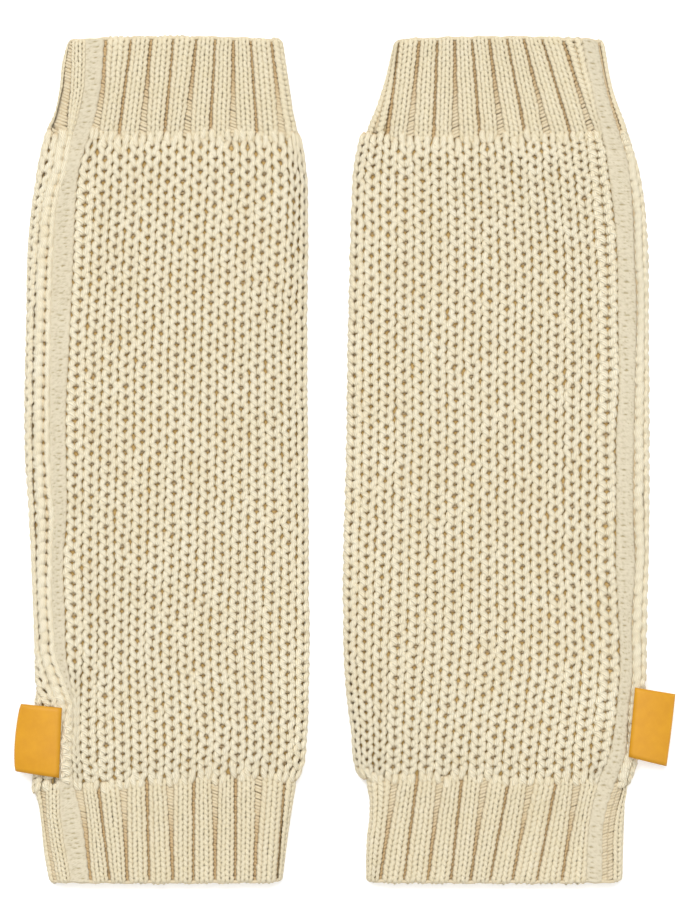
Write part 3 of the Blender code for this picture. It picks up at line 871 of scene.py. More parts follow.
@dataclass(frozen=True)
class PliedCotton:
    """Matt plied cotton yarn, as knitted.

    Spun and plied cotton has no gloss of its own: loose fibre ends give it a soft sheen at
    grazing angles, and the plies show as fine slanting cords. Where it lies deep in the knit,
    light reaches it only by way of the neighbouring yarn and comes back warmer; that shade is
    painted into its colour, as is the shade in the grooves between the plies.
    """

    name: str
    light: str = "#F4EED8"
    shaded: str = "#EADFC1"
    # Painted shade: the colour that yarn deep in the knit is drawn towards
    deep: str = "#B8904F"
    # Painted shade: the colour that the grooves between the plies are drawn towards
    painted_groove_shade: str = "#CDAD74"
    # Plies of this yarn are about 0.5 mm apart; drawn 0.7 mm apart, two pixels, so that they show.
    ply_spacing: float = 0.7
    ply_slant: float = 52.0
    ply_height: float = 0.30
    painted_groove_shade_shade: float = 0.35
    sheen: float = 0.2

    def make(self) -> bpy.types.Material:
        """Builds the material.

        Returns:
            The new material.
        """
        # Cotton: IOR 1.53, very rough
        material, tree, shader = new_finish(self.name, {
            "Roughness": 0.92, "IOR": 1.53, "Specular IOR Level": 0.25,
            "Sheen Weight": self.sheen, "Sheen Roughness": 0.5, "Sheen Tint": linear("#FFF6E0")})
        tone, depth = (add_node(tree, "ShaderNodeAttribute", {"attribute_name": key})
                       for key in ("tone", "depth"))
        place = add_node(tree, "ShaderNodeTexCoord")
        # Slow drift of the dye over some 20 mm, slubs of the spinning over about 2 mm, and fibres, which
        # stand 0.15 mm apart and are drawn 0.35 mm apart, one pixel
        drift, slub, fibres = (
            add_node(tree, "ShaderNodeTexNoise", {"Scale": 1 / (size * MM), "Detail": detail},
                     {"Vector": place.outputs["Object"]})
            for size, detail in ((20, 2.0), (2, 3.0), (0.35, 2.0)))
        mixed = add_node(tree, "ShaderNodeMath", {"operation": "MULTIPLY_ADD", 1: 0.5},
                         {0: drift.outputs["Fac"], 2: tone.outputs["Fac"]})
        share = add_node(tree, "ShaderNodeMath",
                         {"operation": "MULTIPLY_ADD", 1: 0.7, "use_clamp": True},
                         {0: slub.outputs["Fac"], 2: mixed.outputs[0]})
        colour = add_node(tree, "ShaderNodeMix",
                          {"data_type": "RGBA", "A": linear(self.light), "B": linear(self.shaded)},
                          {"Factor": share.outputs[0]})
        # Painted shade: yarn deep in the knit is drawn towards the deep colour, as far as its depth says
        painted_deep_shade = add_node(tree, "ShaderNodeMix", {"data_type": "RGBA", "B": linear(self.deep)},
                        {"Factor": depth.outputs["Fac"], "A": colour.outputs["Result"]})

        turned = add_node(tree, "ShaderNodeMapping", {"Rotation": (0, 0, math.radians(self.ply_slant))},
                          {"Vector": place.outputs["UV"]})
        plies = add_node(tree, "ShaderNodeTexWave",
                         {"Scale": WAVE_BAND / self.ply_spacing, "Distortion": 1.2, "Detail": 1.0,
                          "Detail Scale": 0.6}, {"Vector": turned.outputs["Vector"]})
        # The grooves between the plies lie in each other's shade, which is painted into the colour
        painted_groove_shade = add_node(tree, "ShaderNodeMapRange", {1: 0.0, 2: 0.6, 3: self.painted_groove_shade_shade, 4: 0.0},
                          {0: plies.outputs["Fac"]})
        plied = add_node(tree, "ShaderNodeMix", {"data_type": "RGBA", "B": linear(self.painted_groove_shade)},
                         {"Factor": painted_groove_shade.outputs[0], "A": painted_deep_shade.outputs["Result"]})
        tree.links.new(plied.outputs["Result"], shader.inputs["Base Color"])
        height = add_node(tree, "ShaderNodeMath", {"operation": "MULTIPLY_ADD", 1: 0.35},
                          {0: fibres.outputs["Fac"], 2: plies.outputs["Fac"]})
        bump = add_node(tree, "ShaderNodeBump", {"Strength": 0.9, "Distance": self.ply_height * MM},
                        {"Height": height.outputs[0]})
        tree.links.new(bump.outputs["Normal"], shader.inputs["Normal"])
        return material


@dataclass(frozen=True)
class GroundCotton:
    """The inner side of the knit between its stitches, seen only through the holes.

    It is the same cotton in the shade of its neighbours, so it looks warm and brown; that shade is
    painted into its colours.
    """

    name: str
    # Painted shade: the cotton's own colour darkened and warmed by the shade it lies in, mixed at random
    colour: str = "#C9AA70"
    shaded: str = "#AD8D54"

    def make(self) -> bpy.types.Material:
        """Builds the material.

        Returns:
            The new material.
        """
        material, tree, shader = new_finish(
            self.name, {"Roughness": 0.95, "IOR": 1.53, "Specular IOR Level": 0.2})
        place = add_node(tree, "ShaderNodeTexCoord")
        # Crossing strands about 1.2 mm apart
        strands = add_node(tree, "ShaderNodeTexNoise", {"Scale": 1 / (1.2 * MM), "Detail": 3.0},
                           {"Vector": place.outputs["Object"]})
        colour = add_node(tree, "ShaderNodeMix",
                          {"data_type": "RGBA", "A": linear(self.colour), "B": linear(self.shaded)},
                          {"Factor": strands.outputs["Fac"]})
        tree.links.new(colour.outputs["Result"], shader.inputs["Base Color"])
        bump = add_node(tree, "ShaderNodeBump", {"Strength": 0.5, "Distance": 0.2 * MM},
                        {"Height": strands.outputs["Fac"]})
        tree.links.new(bump.outputs["Normal"], shader.inputs["Normal"])
        return material


@dataclass(frozen=True)
class SatinRibbon:
    """Polyester ribbon, woven in satin, dyed golden yellow.

    Its long floats give a smooth face with a broad soft gleam, over fine crosswise picks.
    """

    name: str = "satin_woven_ribbon"
    light: str = "#D4980E"
    shaded: str = "#C58808"
    # Picks are 0.2 mm apart; drawn 0.45 mm apart so that they show.
    pick_spacing: float = 0.45

    def make(self) -> bpy.types.Material:
        """Builds the material.

        Returns:
            The new material.
        """
        # Polyester: IOR 1.57; a satin weave is half glossy
        material, tree, shader = new_finish(self.name, {
            "Roughness": 0.55, "IOR": 1.57, "Specular IOR Level": 0.4,
            "Sheen Weight": 0.06, "Sheen Roughness": 0.35, "Sheen Tint": linear("#FFD98A")})
        place = add_node(tree, "ShaderNodeTexCoord")
        picks, ends = (
            add_node(tree, "ShaderNodeTexWave",
                     {"bands_direction": way, "Scale": WAVE_BAND / self.pick_spacing,
                      "Distortion": distortion, "Detail": 1.0}, {"Vector": place.outputs["UV"]})
            for way, distortion in (("X", 0.4), ("Y", 0.6)))
        weave = add_node(tree, "ShaderNodeMath", {"operation": "MULTIPLY_ADD", 1: 0.6},
                         {0: ends.outputs["Fac"], 2: picks.outputs["Fac"]})
        cloudy = add_node(tree, "ShaderNodeTexNoise", {"Scale": 1 / (4 * MM), "Detail": 2.0},
                          {"Vector": place.outputs["Object"]})
        share = add_node(tree, "ShaderNodeMath",
                         {"operation": "MULTIPLY_ADD", 1: 0.25, "use_clamp": True},
                         {0: weave.outputs[0], 2: cloudy.outputs["Fac"]})
        colour = add_node(tree, "ShaderNodeMix",
                          {"data_type": "RGBA", "A": linear(self.light), "B": linear(self.shaded)},
                          {"Factor": share.outputs[0]})
        tree.links.new(colour.outputs["Result"], shader.inputs["Base Color"])
        bump = add_node(tree, "ShaderNodeBump", {"Strength": 0.35, "Distance": 0.05 * MM},
                        {"Height": weave.outputs[0]})
        tree.links.new(bump.outputs["Normal"], shader.inputs["Normal"])
        return material


@dataclass(frozen=True)
class StudioCard:
    """Matt white card under the pair, lit to a clean white."""

    name: str = "matt_white_card"
    colour: str = "#FBFBFB"
    glow: float = 0.2

    def make(self) -> bpy.types.Material:
        """Builds the material.

        Returns:
            The new material.
        """
        material, _, _ = new_finish(self.name, {
            "Base Color": linear(self.colour), "Roughness": 0.95,
            "Emission Color": linear("#FFFFFF"), "Emission Strength": self.glow})
        return material


@dataclass
class Dressing:
    """The finishes that both warmers share."""

    body_yarn: bpy.types.Material
    cuff_yarn: bpy.types.Material
    seam_yarn: bpy.types.Material
    ground: bpy.types.Material
    fine_ground: bpy.types.Material
    ribbon: bpy.types.Material


def dress(piece: bpy.types.Object, node: str) -> bpy.types.Object:
    """Puts a piece in place of its node.

    Args:
        piece: the new piece.
        node: the node that it stands for.

    Returns:
        The same piece.
    """
    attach(piece, "root")
    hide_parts(node)
    triangles = sum(len(face.vertices) - 2 for face in piece.data.polygons)
    LOG.info("%s: %d triangles", piece.name, triangles)
    return piece


@dataclass
class GroundCloth:
    """The thin closed ground of one tube, between the yarn and the slot for the arm."""

    tube: LaidTube
    depth: float
    step: float = 8.0
    fewest_rings: int = 8
    around_count: int = 72
    # How far inside the hem's turned edge it ends, and how square the ends of the slot are
    hem_inset: float = 0.6
    squareness: int = 10

    def wall(self) -> tuple[np.ndarray, np.ndarray]:
        """Works out the cloth's two faces.

        Returns:
            The outer and the inner face, as rings x points x 3.
        """
        tube = self.tube
        start = tube.start + (self.hem_inset if tube.hem < 0 else 0)
        end = tube.end - (self.hem_inset if tube.hem > 0 else 0)
        y = np.linspace(start, end, max(self.fewest_rings, int((end - start) / self.step)))[:, None]
        around = np.linspace(0, 2, self.around_count, endpoint=False)[None]
        outer, _ = tube.place(around, y, np.array(-self.depth))
        top, low, high = (tube.size(key, y) for key in ("top", "low", "high"))
        wall, flip = (top - SLOT) / 2, tube.plan.side.value
        across = np.clip((outer[..., 0] * flip - low) / (high - low), 0, 1)
        first, last = low + wall + SIDE_WALL, high - wall - SIDE_WALL
        x = first + across * (last - first)
        bulge = SLOT / 2 * (1 - np.abs(2 * across - 1) ** self.squareness)
        z = top / 2 + np.where(around < 1, bulge, -bulge)
        return outer, np.stack([flip * x, tube.bent(x, y + 0 * x), z], axis=-1)

    def build(self, material: bpy.types.Material, slot: str, yarns: list[bpy.types.Object]) -> None:
        """Args:
            material: its finish.
            slot: the name of a material slot; not used.
            yarns: the pieces of knit that lie on it; not used.
        """
        outer, inner = self.wall()
        node = self.tube.node
        piece = grid_piece(f"{node}_ground", np.concatenate([outer, inner[::-1]]), material)
        dress(piece, node)


@dataclass(frozen=True)
class Wander:
    """How unevenly the stitches lie: standard deviations in millimetres, or shares of one."""

    along: float
    across: float
    lean: float
    size: float
    tone: float = 0.1


@dataclass
class Column:
    """A column of knitted V stitches between two lines that run along a tube.

    The lines are distances over the upper layer, or else round the foot and the underside, at
    each of the tube's heights. The arch is how much lower its low and its high side lie.
    """

    tube: LaidTube
    rows: np.ndarray
    left: np.ndarray
    right: np.ndarray
    crown: float
    upper: bool = True
    arch: tuple[float, float] = (0.0, 0.0)
    legs: tuple[int, ...] = (-1, 1)
    pitch: float | np.ndarray | None = None
    # How far the whole column may be shifted along, as a share of its stitches' own wander
    shift: float = 1.5
    # How little and how much the yarn of a narrow or a wide column is scaled
    scales: tuple[float, float] = (0.7, 1.3)
    # How far down yarn takes the full painted shade, what an arched side adds, and the most painted shade
    # it is shown with
    full_shade_lift: float = 0.95
    arch_shade: float = 0.15
    most_painted_shade: float = 0.75

    def knit(self, yarns: Yarns, loop: Loop, wander: Wander, rng: np.random.Generator) -> None:
        """Knits every stitch of the column, as one leg of yarn or two.

        Args:
            yarns: what they are added to.
            loop: the form of one leg.
            wander: how unevenly they lie.
            rng: what the unevenness is drawn from.
        """
        tube, count = self.tube, len(self.rows)
        pitch = np.abs(np.gradient(self.rows))[:, None] if self.pitch is None else self.pitch
        path = smooth_path(loop.path, loop.rings)
        shift = rng.normal(0, wander.along, (count, 1))
        shift = shift + rng.uniform(-self.shift, self.shift) * wander.along
        drift, lean = rng.normal(0, wander.across, (count, 1)), rng.normal(0, wander.lean, (count, 1))
        tone = rng.normal(0, wander.tone, count)
        for side in self.legs:
            lower = self.arch[0 if side < 0 else 1]
            across = side * path[:, 0] * (1 + rng.normal(0, wander.size, (count, 1)))
            y = self.rows[:, None] + shift + path[:, 1] * pitch + lean * across
            if self.upper:
                y = y + tube.rise(np.interp(y, tube.heights, (self.left + self.right) / 2), y)
            low, high = np.interp(y, tube.heights, self.left), np.interp(y, tube.heights, self.right)
            u = (low + high) / 2 + drift + across * (high - low) / 2
            around = tube.around(u, y) if self.upper else 1 + u / tube.size("under", y)
            scale = np.clip((high - low) / loop.width, *self.scales)
            swell = tube.swell(around, y)
            y, sunk = tube.turned(y)
            radius = loop.radius * scale * path[:, 3]
            lift = path[:, 2] + (self.crown - lower) * swell - loop.radius * scale * loop.flat - sunk
            line, normal = tube.place(around, y, lift)
            # Painted shade, the more the deeper its path sinks into the knit, plus a share for an arched
            # side
            depth = (path[:, 2] / self.full_shade_lift) ** 2 + lower * self.arch_shade
            depth = np.clip(depth, 0, self.most_painted_shade) + 0 * y
            yarns.lay(line, normal, radius, loop.sides, loop.flat, tone, depth)


@dataclass
class BodyKnit:
    """The chunky half-cardigan knit of the body: columns of thick V stitches with open middles."""

    tube: LaidTube
    rng: np.random.Generator
    front: Loop = Loop(
        path=((0.34, 0.66, -0.8, 0.85), (0.37, 0.48, -0.30, 1.03), (0.58, 0.25, -0.10, 1.05),
              (0.715, 0.02, -0.05, 1.10), (0.64, -0.18, -0.02, 1.08), (0.38, -0.37, 0.04, 1.08),
              (0.29, -0.57, 0.0, 1.12), (0.30, -0.80, -0.45, 0.9)),
        radius=1.12, rings=7, sides=6, flat=0.85, width=COLUMN_PITCH)
    gathered: Loop = Loop(
        path=((0.40, 0.80, -0.85, 0.9), (0.46, 0.45, -0.25, 1.08), (0.55, 0.12, -0.08, 1.15),
              (0.54, -0.12, -0.05, 1.15), (0.38, -0.42, -0.05, 1.12), (0.30, -0.80, -0.6, 0.95)),
        radius=1.12, rings=8, sides=6, flat=0.85, width=COLUMN_PITCH)
    # The broad flat leg beyond the open middles at a plain edge, and the same where the edge is
    # stitched to the seam
    spread: Loop = Loop(
        path=((0.40, 0.72, -0.50, 0.85), (0.37, 0.42, -0.12, 1.0), (0.46, 0.17, -0.04, 0.97),
              (0.54, 0.0, -0.03, 0.93), (0.47, -0.18, 0.0, 0.98), (0.36, -0.46, 0.03, 1.05),
              (0.40, -0.82, -0.4, 0.9)),
        radius=1.45, rings=8, sides=6, flat=0.66, width=COLUMN_PITCH)
    drawn: Loop = Loop(
        path=((0.50, 1.26, -0.60, 0.80), (0.53, 1.0, -0.20, 0.92), (0.37, 0.76, -0.02, 1.0),
              (0.33, 0.5, 0.03, 1.03), (0.36, 0.24, 0.03, 1.0), (0.53, 0.0, -0.06, 0.92),
              (0.52, -0.26, -0.5, 0.80)),
        radius=1.45, rings=9, sides=6, flat=0.66, width=COLUMN_PITCH)
    # The short leg that meets the seam at a stitched edge, and half the width of its column
    stub: float = 1.7
    meeting: Loop = Loop(
        path=((0.92, 1.24, -0.5, 0.85), (0.92, 1.0, -0.18, 0.93), (0.74, 0.76, 0.0, 1.0),
              (0.68, 0.5, 0.0, 1.05), (0.74, 0.24, 0.0, 1.0), (0.92, 0.0, -0.06, 0.93),
              (0.90, -0.24, -0.5, 0.85)),
        radius=1.15, rings=8, sides=6, flat=0.8, width=3.4)
    # The yarn that shows between two of those legs, and how deep both they and it lie
    bead: Loop = Loop(
        path=((0.0, 0.84, -0.75, 0.7), (0.0, 0.66, -0.48, 1.0), (0.0, 0.34, -0.48, 1.0),
              (0.0, 0.16, -0.75, 0.7)),
        radius=0.95, rings=5, sides=5, flat=0.5, width=3.4)
    stub_sunk: float = 0.15
    # The flat yarn behind the gaps: how far out from the ground it lies, and along the band, the open
    # middles and the edge beyond them, its place from that line, half its width and the painted shade it
    # takes
    gap_lift: float = -0.25
    band_backing: tuple[float, float, float] = (-0.3, 1.3, 0.3)
    hole_backing: tuple[float, float, float] = (-0.1, 0.9, 0.55)
    edge_backing: tuple[float, float, float] = (-0.2, 1.3, 0.25)
    # How far the column beyond that edge overlaps it, where it is stitched and where it is plain
    reaches: tuple[float, float] = (1.0, 0.5)
    # How far past the upper layer's end a stitch is still knitted
    turned_under: float = -2.6
    # How far the stitches that lap over the band reach past it, and how high they lie
    lap_reach: float = 0.6
    lap_lift: float = 0.25
    back: Loop = Loop(
        path=((0.42, 0.6, -0.6, 0.8), (0.66, 0.05, 0.0, 1.05), (0.38, -0.40, 0.0, 1.0),
              (0.34, -0.8, -0.6, 0.8)),
        radius=1.08, rings=4, sides=4, width=COLUMN_PITCH)
    wander: Wander = Wander(along=0.17, across=0.14, lean=0.28, size=0.06)
    ragged: Wander = Wander(along=0.55, across=0.30, lean=1.1, size=0.12)
    # How many rows there are, and how far past them the rows lie that gather the body to its cuffs
    row_count: int = 60
    gather_pitch: float = 3.1
    # The tucked strand behind every row: its place above the open middles in rows, its form, how
    # unevenly it lies along and in lift, and the painted shade it takes
    strand_above: float = 0.12
    strand_lift: float = -1.05
    strand_radius: float = 0.55
    strand_flat: float = 0.8
    strand_wander: tuple[float, float] = (0.28, 0.15)
    strand_shade: float = 0.6

    def lines(self) -> tuple[tuple[np.ndarray, np.ndarray], list[np.ndarray]]:
        """Finds the lines between the columns at each of the tube's heights.

        Returns:
            The open middles and the edge beyond the band, and the columns' edges on from the band.
        """
        tube, plan = self.tube, self.tube.plan
        y = tube.heights
        _, inner = tube.band_edges(y)
        holes, edge = (tube.unroll(line, y) for line in plan.seam_holes.at(y).T * plan.side.value)
        seen = plan.columns.at(y) * plan.side.value
        last = COLUMN_LINES[-1]
        weights = np.polyfit(COLUMN_LINES, seen.T, 2)
        gaps = [tube.unroll(weights[0] * k * k + weights[1] * k + weights[2], y)
                for k in range(1, last + 1)]
        past = plan.last_column - last
        far = tube.size("far_end", y)
        pitch = np.minimum(COLUMN_PITCH, (far - gaps[-1]) / (past + 1))
        gaps += [gaps[-1] + (k + 1) * pitch for k in range(past)]
        return (holes, edge), [inner, *gaps, far]

    def rows(self) -> np.ndarray:
        """The heights of the stitches' open middles, from the upper joint down."""
        rows = np.array(self.tube.plan.stitch_rows)
        return np.interp(np.arange(self.row_count), rows[:, 0], rows[:, 1])

    def pitch(self, rows: np.ndarray) -> np.ndarray:
        """The distances between the rows around some of them."""
        every = self.rows()
        return np.interp(rows, every[::-1], np.abs(np.gradient(every))[::-1])[:, None]

    def gathers(self) -> np.ndarray:
        """The heights of the two rows of closed stitches that gather the body to its cuffs."""
        rows = self.rows()
        return np.array([rows[0] + self.gather_pitch, rows[-1] - self.gather_pitch])

    def strands(self, yarns: Yarns, gaps: list[np.ndarray]) -> None:
        """Lays the tucked strands that show in the upper half of the open middles.

        Args:
            yarns: what they are added to.
            gaps: the columns' edges.
        """
        tube, rows, rng = self.tube, self.rows(), self.rng
        steps = 2 * (len(gaps) - 1) + 1
        share = np.linspace(0, len(gaps) - 1, steps)
        pitch = np.abs(np.gradient(rows))[:, None]
        along, out = self.strand_wander
        y = rows[:, None] + self.strand_above * pitch + rng.normal(0, along, (len(rows), steps))
        edges = np.stack([np.interp(y[:, 0], tube.heights, gap) for gap in gaps], axis=1)
        u = np.stack([np.interp(share, np.arange(len(gaps)), row) for row in edges])
        y = y + tube.rise(u, y)
        lift = self.strand_lift + rng.normal(0, out, y.shape)
        line, normal = tube.place(tube.around(u, y), y, lift)
        yarns.lay(line, normal, np.full(y.shape, self.strand_radius), 4, self.strand_flat,
                  rng.normal(0, 0.1, len(rows)), np.full(y.shape, self.strand_shade))

    def upper_layer(self, yarns: Yarns) -> list[np.ndarray]:
        """Knits the upper layer.

        Args:
            yarns: what it is added to.

        Returns:
            The edges of the columns between the band and the far side.
        """
        tube, both = self.tube, (-1, 1)
        (holes, edge), gaps = self.lines()
        stitched = tube.plan.stitched_edge
        beyond = edge + self.reaches[0 if stitched else 1]
        columns = [(beyond - (k + 1) * COLUMN_PITCH, beyond - k * COLUMN_PITCH, both, self.front)
                   for k in range(2)]
        columns.append((edge, 2 * holes - edge, (-1,), self.drawn if stitched else self.spread))
        backed = (holes, self.hole_backing)
        if stitched:
            columns += [(holes - self.stub, holes + self.stub, (1,), loop)
                        for loop in (self.meeting, self.bead)]
            backed = (tube.band_edges(tube.heights)[0], self.band_backing)
        for line, (shift, girth, depth) in (backed, (edge, self.edge_backing)):
            yarns.back_up(tube, line + shift, self.gap_lift, girth, depth)
        columns += [(left, right, both, self.front) for left, right in zip(gaps, gaps[1:])]
        for left, right, legs, loop in columns:
            inside = (left + right) / 2 - tube.size("near_end", tube.heights)
            rows = self.rows()[np.interp(self.rows(), tube.heights, inside) > self.turned_under]
            crown = tube.relief - (self.stub_sunk if loop in (self.meeting, self.bead) else 0.0)
            if len(rows) > 1:
                column = Column(tube, rows, left, right, crown, legs=legs, pitch=self.pitch(rows))
                column.knit(yarns, loop, self.wander, self.rng)
            if loop is not self.bead:
                column = Column(tube, self.gathers(), left, right, crown, legs=legs,
                                pitch=self.gather_pitch)
                column.knit(yarns, self.gathered, self.ragged, self.rng)
        return gaps

    def laps(self, yarns: Yarns) -> None:
        """Knits the stitches that lap over the band, if there are any.

        Args:
            yarns: what they are added to.
        """
        tube = self.tube
        rows = self.rows()[self.rows() < tube.plan.lapped_below]
        if len(rows) > 1:
            outer, inner = tube.band_edges(tube.heights)
            lap = Column(tube, rows, outer - self.lap_reach, 2 * inner - outer + self.lap_reach,
                         tube.relief + self.lap_lift, legs=(-1,), pitch=self.pitch(rows))
            lap.knit(yarns, self.front, self.ragged, self.rng)

    def under_layer(self, yarns: Yarns) -> None:
        """Knits the under layer, in as many columns as there is room for.

        Args:
            yarns: what it is added to.
        """
        tube = self.tube
        under = tube.size("under", tube.heights)
        count = round(float(under.mean()) / COLUMN_PITCH)
        for k in range(count):
            column = Column(tube, self.rows(), under * k / count, under * (k + 1) / count,
                            tube.relief, False)
            column.knit(yarns, self.back, self.wander, self.rng)

    def build(self, dressing: Dressing) -> list[bpy.types.Object]:
        """Makes the upper and the under layer's knit, and the tucked strands.

        Args:
            dressing: the finishes.

        Returns:
            The three pieces.
        """
        front, back, tucked = Yarns(), Yarns(), Yarns()
        gaps = self.upper_layer(front)
        self.laps(front)
        self.under_layer(back)
        self.strands(tucked, gaps)
        node = self.tube.node
        made = ((front, "knit"), (back, "under_knit"), (tucked, "tucked_strands"))
        return [dress(yarns.piece(f"{node}_{name}", dressing.body_yarn), node)
                for yarns, name in made]


@dataclass
class RibbedCuff:
    """A ribbed cuff: ribs of two knitted wales each, with purl stitches down in the valleys."""

    tube: LaidTube
    valleys: Rows
    rng: np.random.Generator
    row: float = 1.9
    # Half widths of the valleys at the hem, and what they gain towards the body
    narrow_valley: tuple[float, float] = (0.45, 0.15)
    wide_valley: tuple[float, float] = (0.55, 0.85)
    # How far the stitches go on under the body's first row
    overlap: float = 2.6
    front: Loop = Loop(
        path=((0.36, 0.62, -0.40, 0.9), (0.42, 0.40, -0.12, 1.0), (0.58, 0.16, -0.03, 1.0),
              (0.635, -0.02, 0.0, 0.97), (0.54, -0.20, 0.02, 1.0), (0.40, -0.42, 0.03, 1.0),
              (0.333, -0.60, 0.03, 1.0), (0.34, -0.78, -0.3, 0.9)),
        radius=0.93, rings=6, sides=5, flat=0.76, width=3.3)
    back: Loop = Loop(path=((0.46, 0.6, -0.3, 0.9), (0.62, 0.0, 0.0, 1.0), (0.42, -0.8, -0.3, 0.9)),
                      radius=0.86, rings=3, sides=4, flat=0.8, width=3.3)
    # A purl bump, in half widths of its share of the valley across and in millimetres along
    purl: Loop = Loop(path=((-1.2, -0.58, -0.16, 0.9), (-0.4, -0.20, 0.0, 1.05), (0.4, 0.20, 0.0, 1.05),
                            (1.2, 0.58, -0.16, 0.9)),
                      radius=0.64, rings=4, sides=5, flat=0.55)
    purl_row: float = 1.2
    # How far the bumps go on past the joint, and how far from the hem they stop
    purl_ends: tuple[float, float] = (1.2, 1.5)
    # Half the width at which a bump slants as its path does, and the limits of what slants it more
    purl_half: float = 1.1
    slants: tuple[float, float] = (1.0, 2.2)
    # How unevenly the bumps lie along and in lift
    purl_wander: tuple[float, float] = (0.10, 0.08)
    # How deep a narrow valley's and a wide valley's bumps lie, over what width one becomes the other,
    # and the painted shade they then take: a narrow one's, what a wide one loses, and what a bump's ends
    # add
    purl_lifts: tuple[float, float] = (-0.65, -0.15)
    widening: float = 0.6
    purl_shades: tuple[float, float, float] = (0.75, 0.55, 0.15)
    purl_end_lift: float = -0.14
    # How wide one column of bumps may be: in a valley, and beyond the band in the lower and upper cuff
    bump_width: float = 3.0
    side_bumps: tuple[float, float] = (2.3, 5.0)
    # How deep the yarn at the foot of a valley and behind a rib's stitches lies
    valley_floor: float = -0.82
    side_floor: float = -0.35
    rib_floor: float = 0.0
    # Half the width of that yarn and the painted shade it takes, and how far past a valley it goes on
    rib_backing: tuple[float, float] = (0.9, 0.3)
    side_backing: tuple[float, float] = (2.4, 0.45)
    floor_reach: float = 0.4
    # The wales: their width in a rib and beyond the band, and how a rib's sides fall away
    wale: float = 3.3
    side_wale: float = 2.4
    wale_sides: tuple[float, float] = (0.15, 0.85)
    wale_fall: float = 0.6
    # Beyond the band: the gap to the band and the overlap under it, the least width that is knitted as
    # a rib there and round the side, and how far round the side that goes
    band_gap: float = 0.2
    band_overlap: float = 0.6
    least_ribs: tuple[float, float] = (1.0, 1.5)
    side_reach: float = 2.5
    # Half widths of what is left open at the far side, and of the rib's reach under the band
    far_valley: float = 0.3
    band_tuck: float = -0.5
    # The ribs of the under layer: their pitch, and half the width of the valleys between them
    under_pitch: float = 7.9
    under_valley: float = 0.55
    # The cord in the hem: how far inside the edge, its lift above and what it loses below, its radius
    # and the painted shade it takes
    cord_inset: float = 0.12
    cord_lifts: tuple[float, float] = (-0.45, 0.4)
    cord_radius: float = 0.68
    cord_shade: float = 0.2
    wander: Wander = Wander(along=0.10, across=0.06, lean=0.08, size=0.05, tone=0.08)

    @property
    def way(self) -> float:
        """The direction from the hem to the joint."""
        return math.copysign(1, self.tube.joint - self.tube.hem)

    @property
    def length(self) -> float:
        """The length from the hem to the joint."""
        return abs(self.tube.joint - self.tube.hem)

    def share(self) -> np.ndarray:
        """How far each of the tube's heights is from the hem towards the joint, from 0 to 1."""
        return (self.tube.heights - self.tube.hem) / (self.tube.joint - self.tube.hem)

    def lines(self) -> list[np.ndarray]:
        """Finds the lines between the ribs at each of the tube's heights.

        Returns:
            The band's inner edge, the valleys, and the far side.
        """
        tube = self.tube
        seen = self.valleys.at(tube.heights).T * tube.plan.side.value
        valleys = [tube.unroll(line, tube.heights) for line in seen]
        return [tube.band_edges(tube.heights)[1], *valleys, tube.size("far_end", tube.heights)]

    def rows(self) -> np.ndarray:
        """The heights of the stitches, from the hem's turned edge to under the body's first row."""
        return self.tube.hem + self.way * np.arange(0.2, self.length + self.overlap, self.row)

    def purls(self, yarns: Yarns, middle: np.ndarray, half: np.ndarray, bump_width: float) -> None:
        """Knits the slanting purl bumps in a valley, in as many staggered columns as it is wide.

        Args:
            yarns: what they are added to.
            middle: the valley's middle line, at each of the tube's heights.
            half: half its width there.
            bump_width: how wide one column of bumps may be.
        """
        tube, loop, rng = self.tube, self.purl, self.rng
        path = smooth_path(loop.path, loop.rings)
        narrow_lift, wide_lift = self.purl_lifts
        narrow_shade, lost, added = self.purl_shades
        along, out = self.purl_wander
        past, short = self.purl_ends
        most = max(1, round(2 * float(half.max()) / bump_width))
        for k in range(most):
            rows = tube.joint - self.way * np.arange(
                -past + 0.5 * self.purl_row * (k % 2), self.length - short, self.purl_row)
            count = np.clip(np.round(2 * np.interp(rows, tube.heights, half) / bump_width), 1, most)
            rows, count = rows[count > k], count[count > k][:, None]
            slant = np.interp(rows, tube.heights, half)[:, None] / count / self.purl_half
            slant = np.clip(slant, *self.slants)
            y = rows[:, None] + rng.normal(0, along, (len(rows), 1)) - slant * path[:, 1]
            width = np.interp(y, tube.heights, half)
            u = np.interp(y, tube.heights, middle) + width * ((2 * k + 1 + path[:, 0]) / count - 1)
            wide = ease((width - self.wide_valley[0]) / self.widening)
            lift = path[:, 2] + narrow_lift + wide * (wide_lift - narrow_lift)
            lift = lift + rng.normal(0, out, (len(rows), 1))
            line, normal = tube.place(tube.around(u, y), y, lift)
            girth = np.broadcast_to(loop.radius * path[:, 3], y.shape)
            # Painted shade in the valley: less as it widens, and more at a bump's sunk ends
            depth = narrow_shade - lost * wide + added * (path[:, 2] < self.purl_end_lift)
            yarns.lay(line, normal, girth, loop.sides, loop.flat, rng.normal(0, 0.1, len(rows)), depth)

    def rib(self, yarns: Yarns, loop: Loop, low: np.ndarray, high: np.ndarray, wale: float,
            upper: bool = True) -> None:
        """Knits the wales of one rib.

        Args:
            yarns: what they are added to.
            loop: the form of one leg of a stitch.
            low: the rib's low side, at each of the tube's heights.
            high: its high side there.
            wale: about how wide one wale is.
            upper: whether the rib is on the upper layer.
        """
        count = max(1, round(float((high - low).mean()) / wale))
        for k in range(count):
            arch = tuple(self.wale_fall * abs(2 * (k + part) / count - 1) ** 3
                         for part in self.wale_sides)
            column = Column(self.tube, self.rows(), low + (high - low) * k / count,
                            low + (high - low) * (k + 1) / count, self.tube.relief, upper, arch)
            column.knit(yarns, loop, self.wander, self.rng)
            if upper:
                yarns.back_up(self.tube, low + (high - low) * (k + 0.5) / count, self.rib_floor,
                              *self.rib_backing)

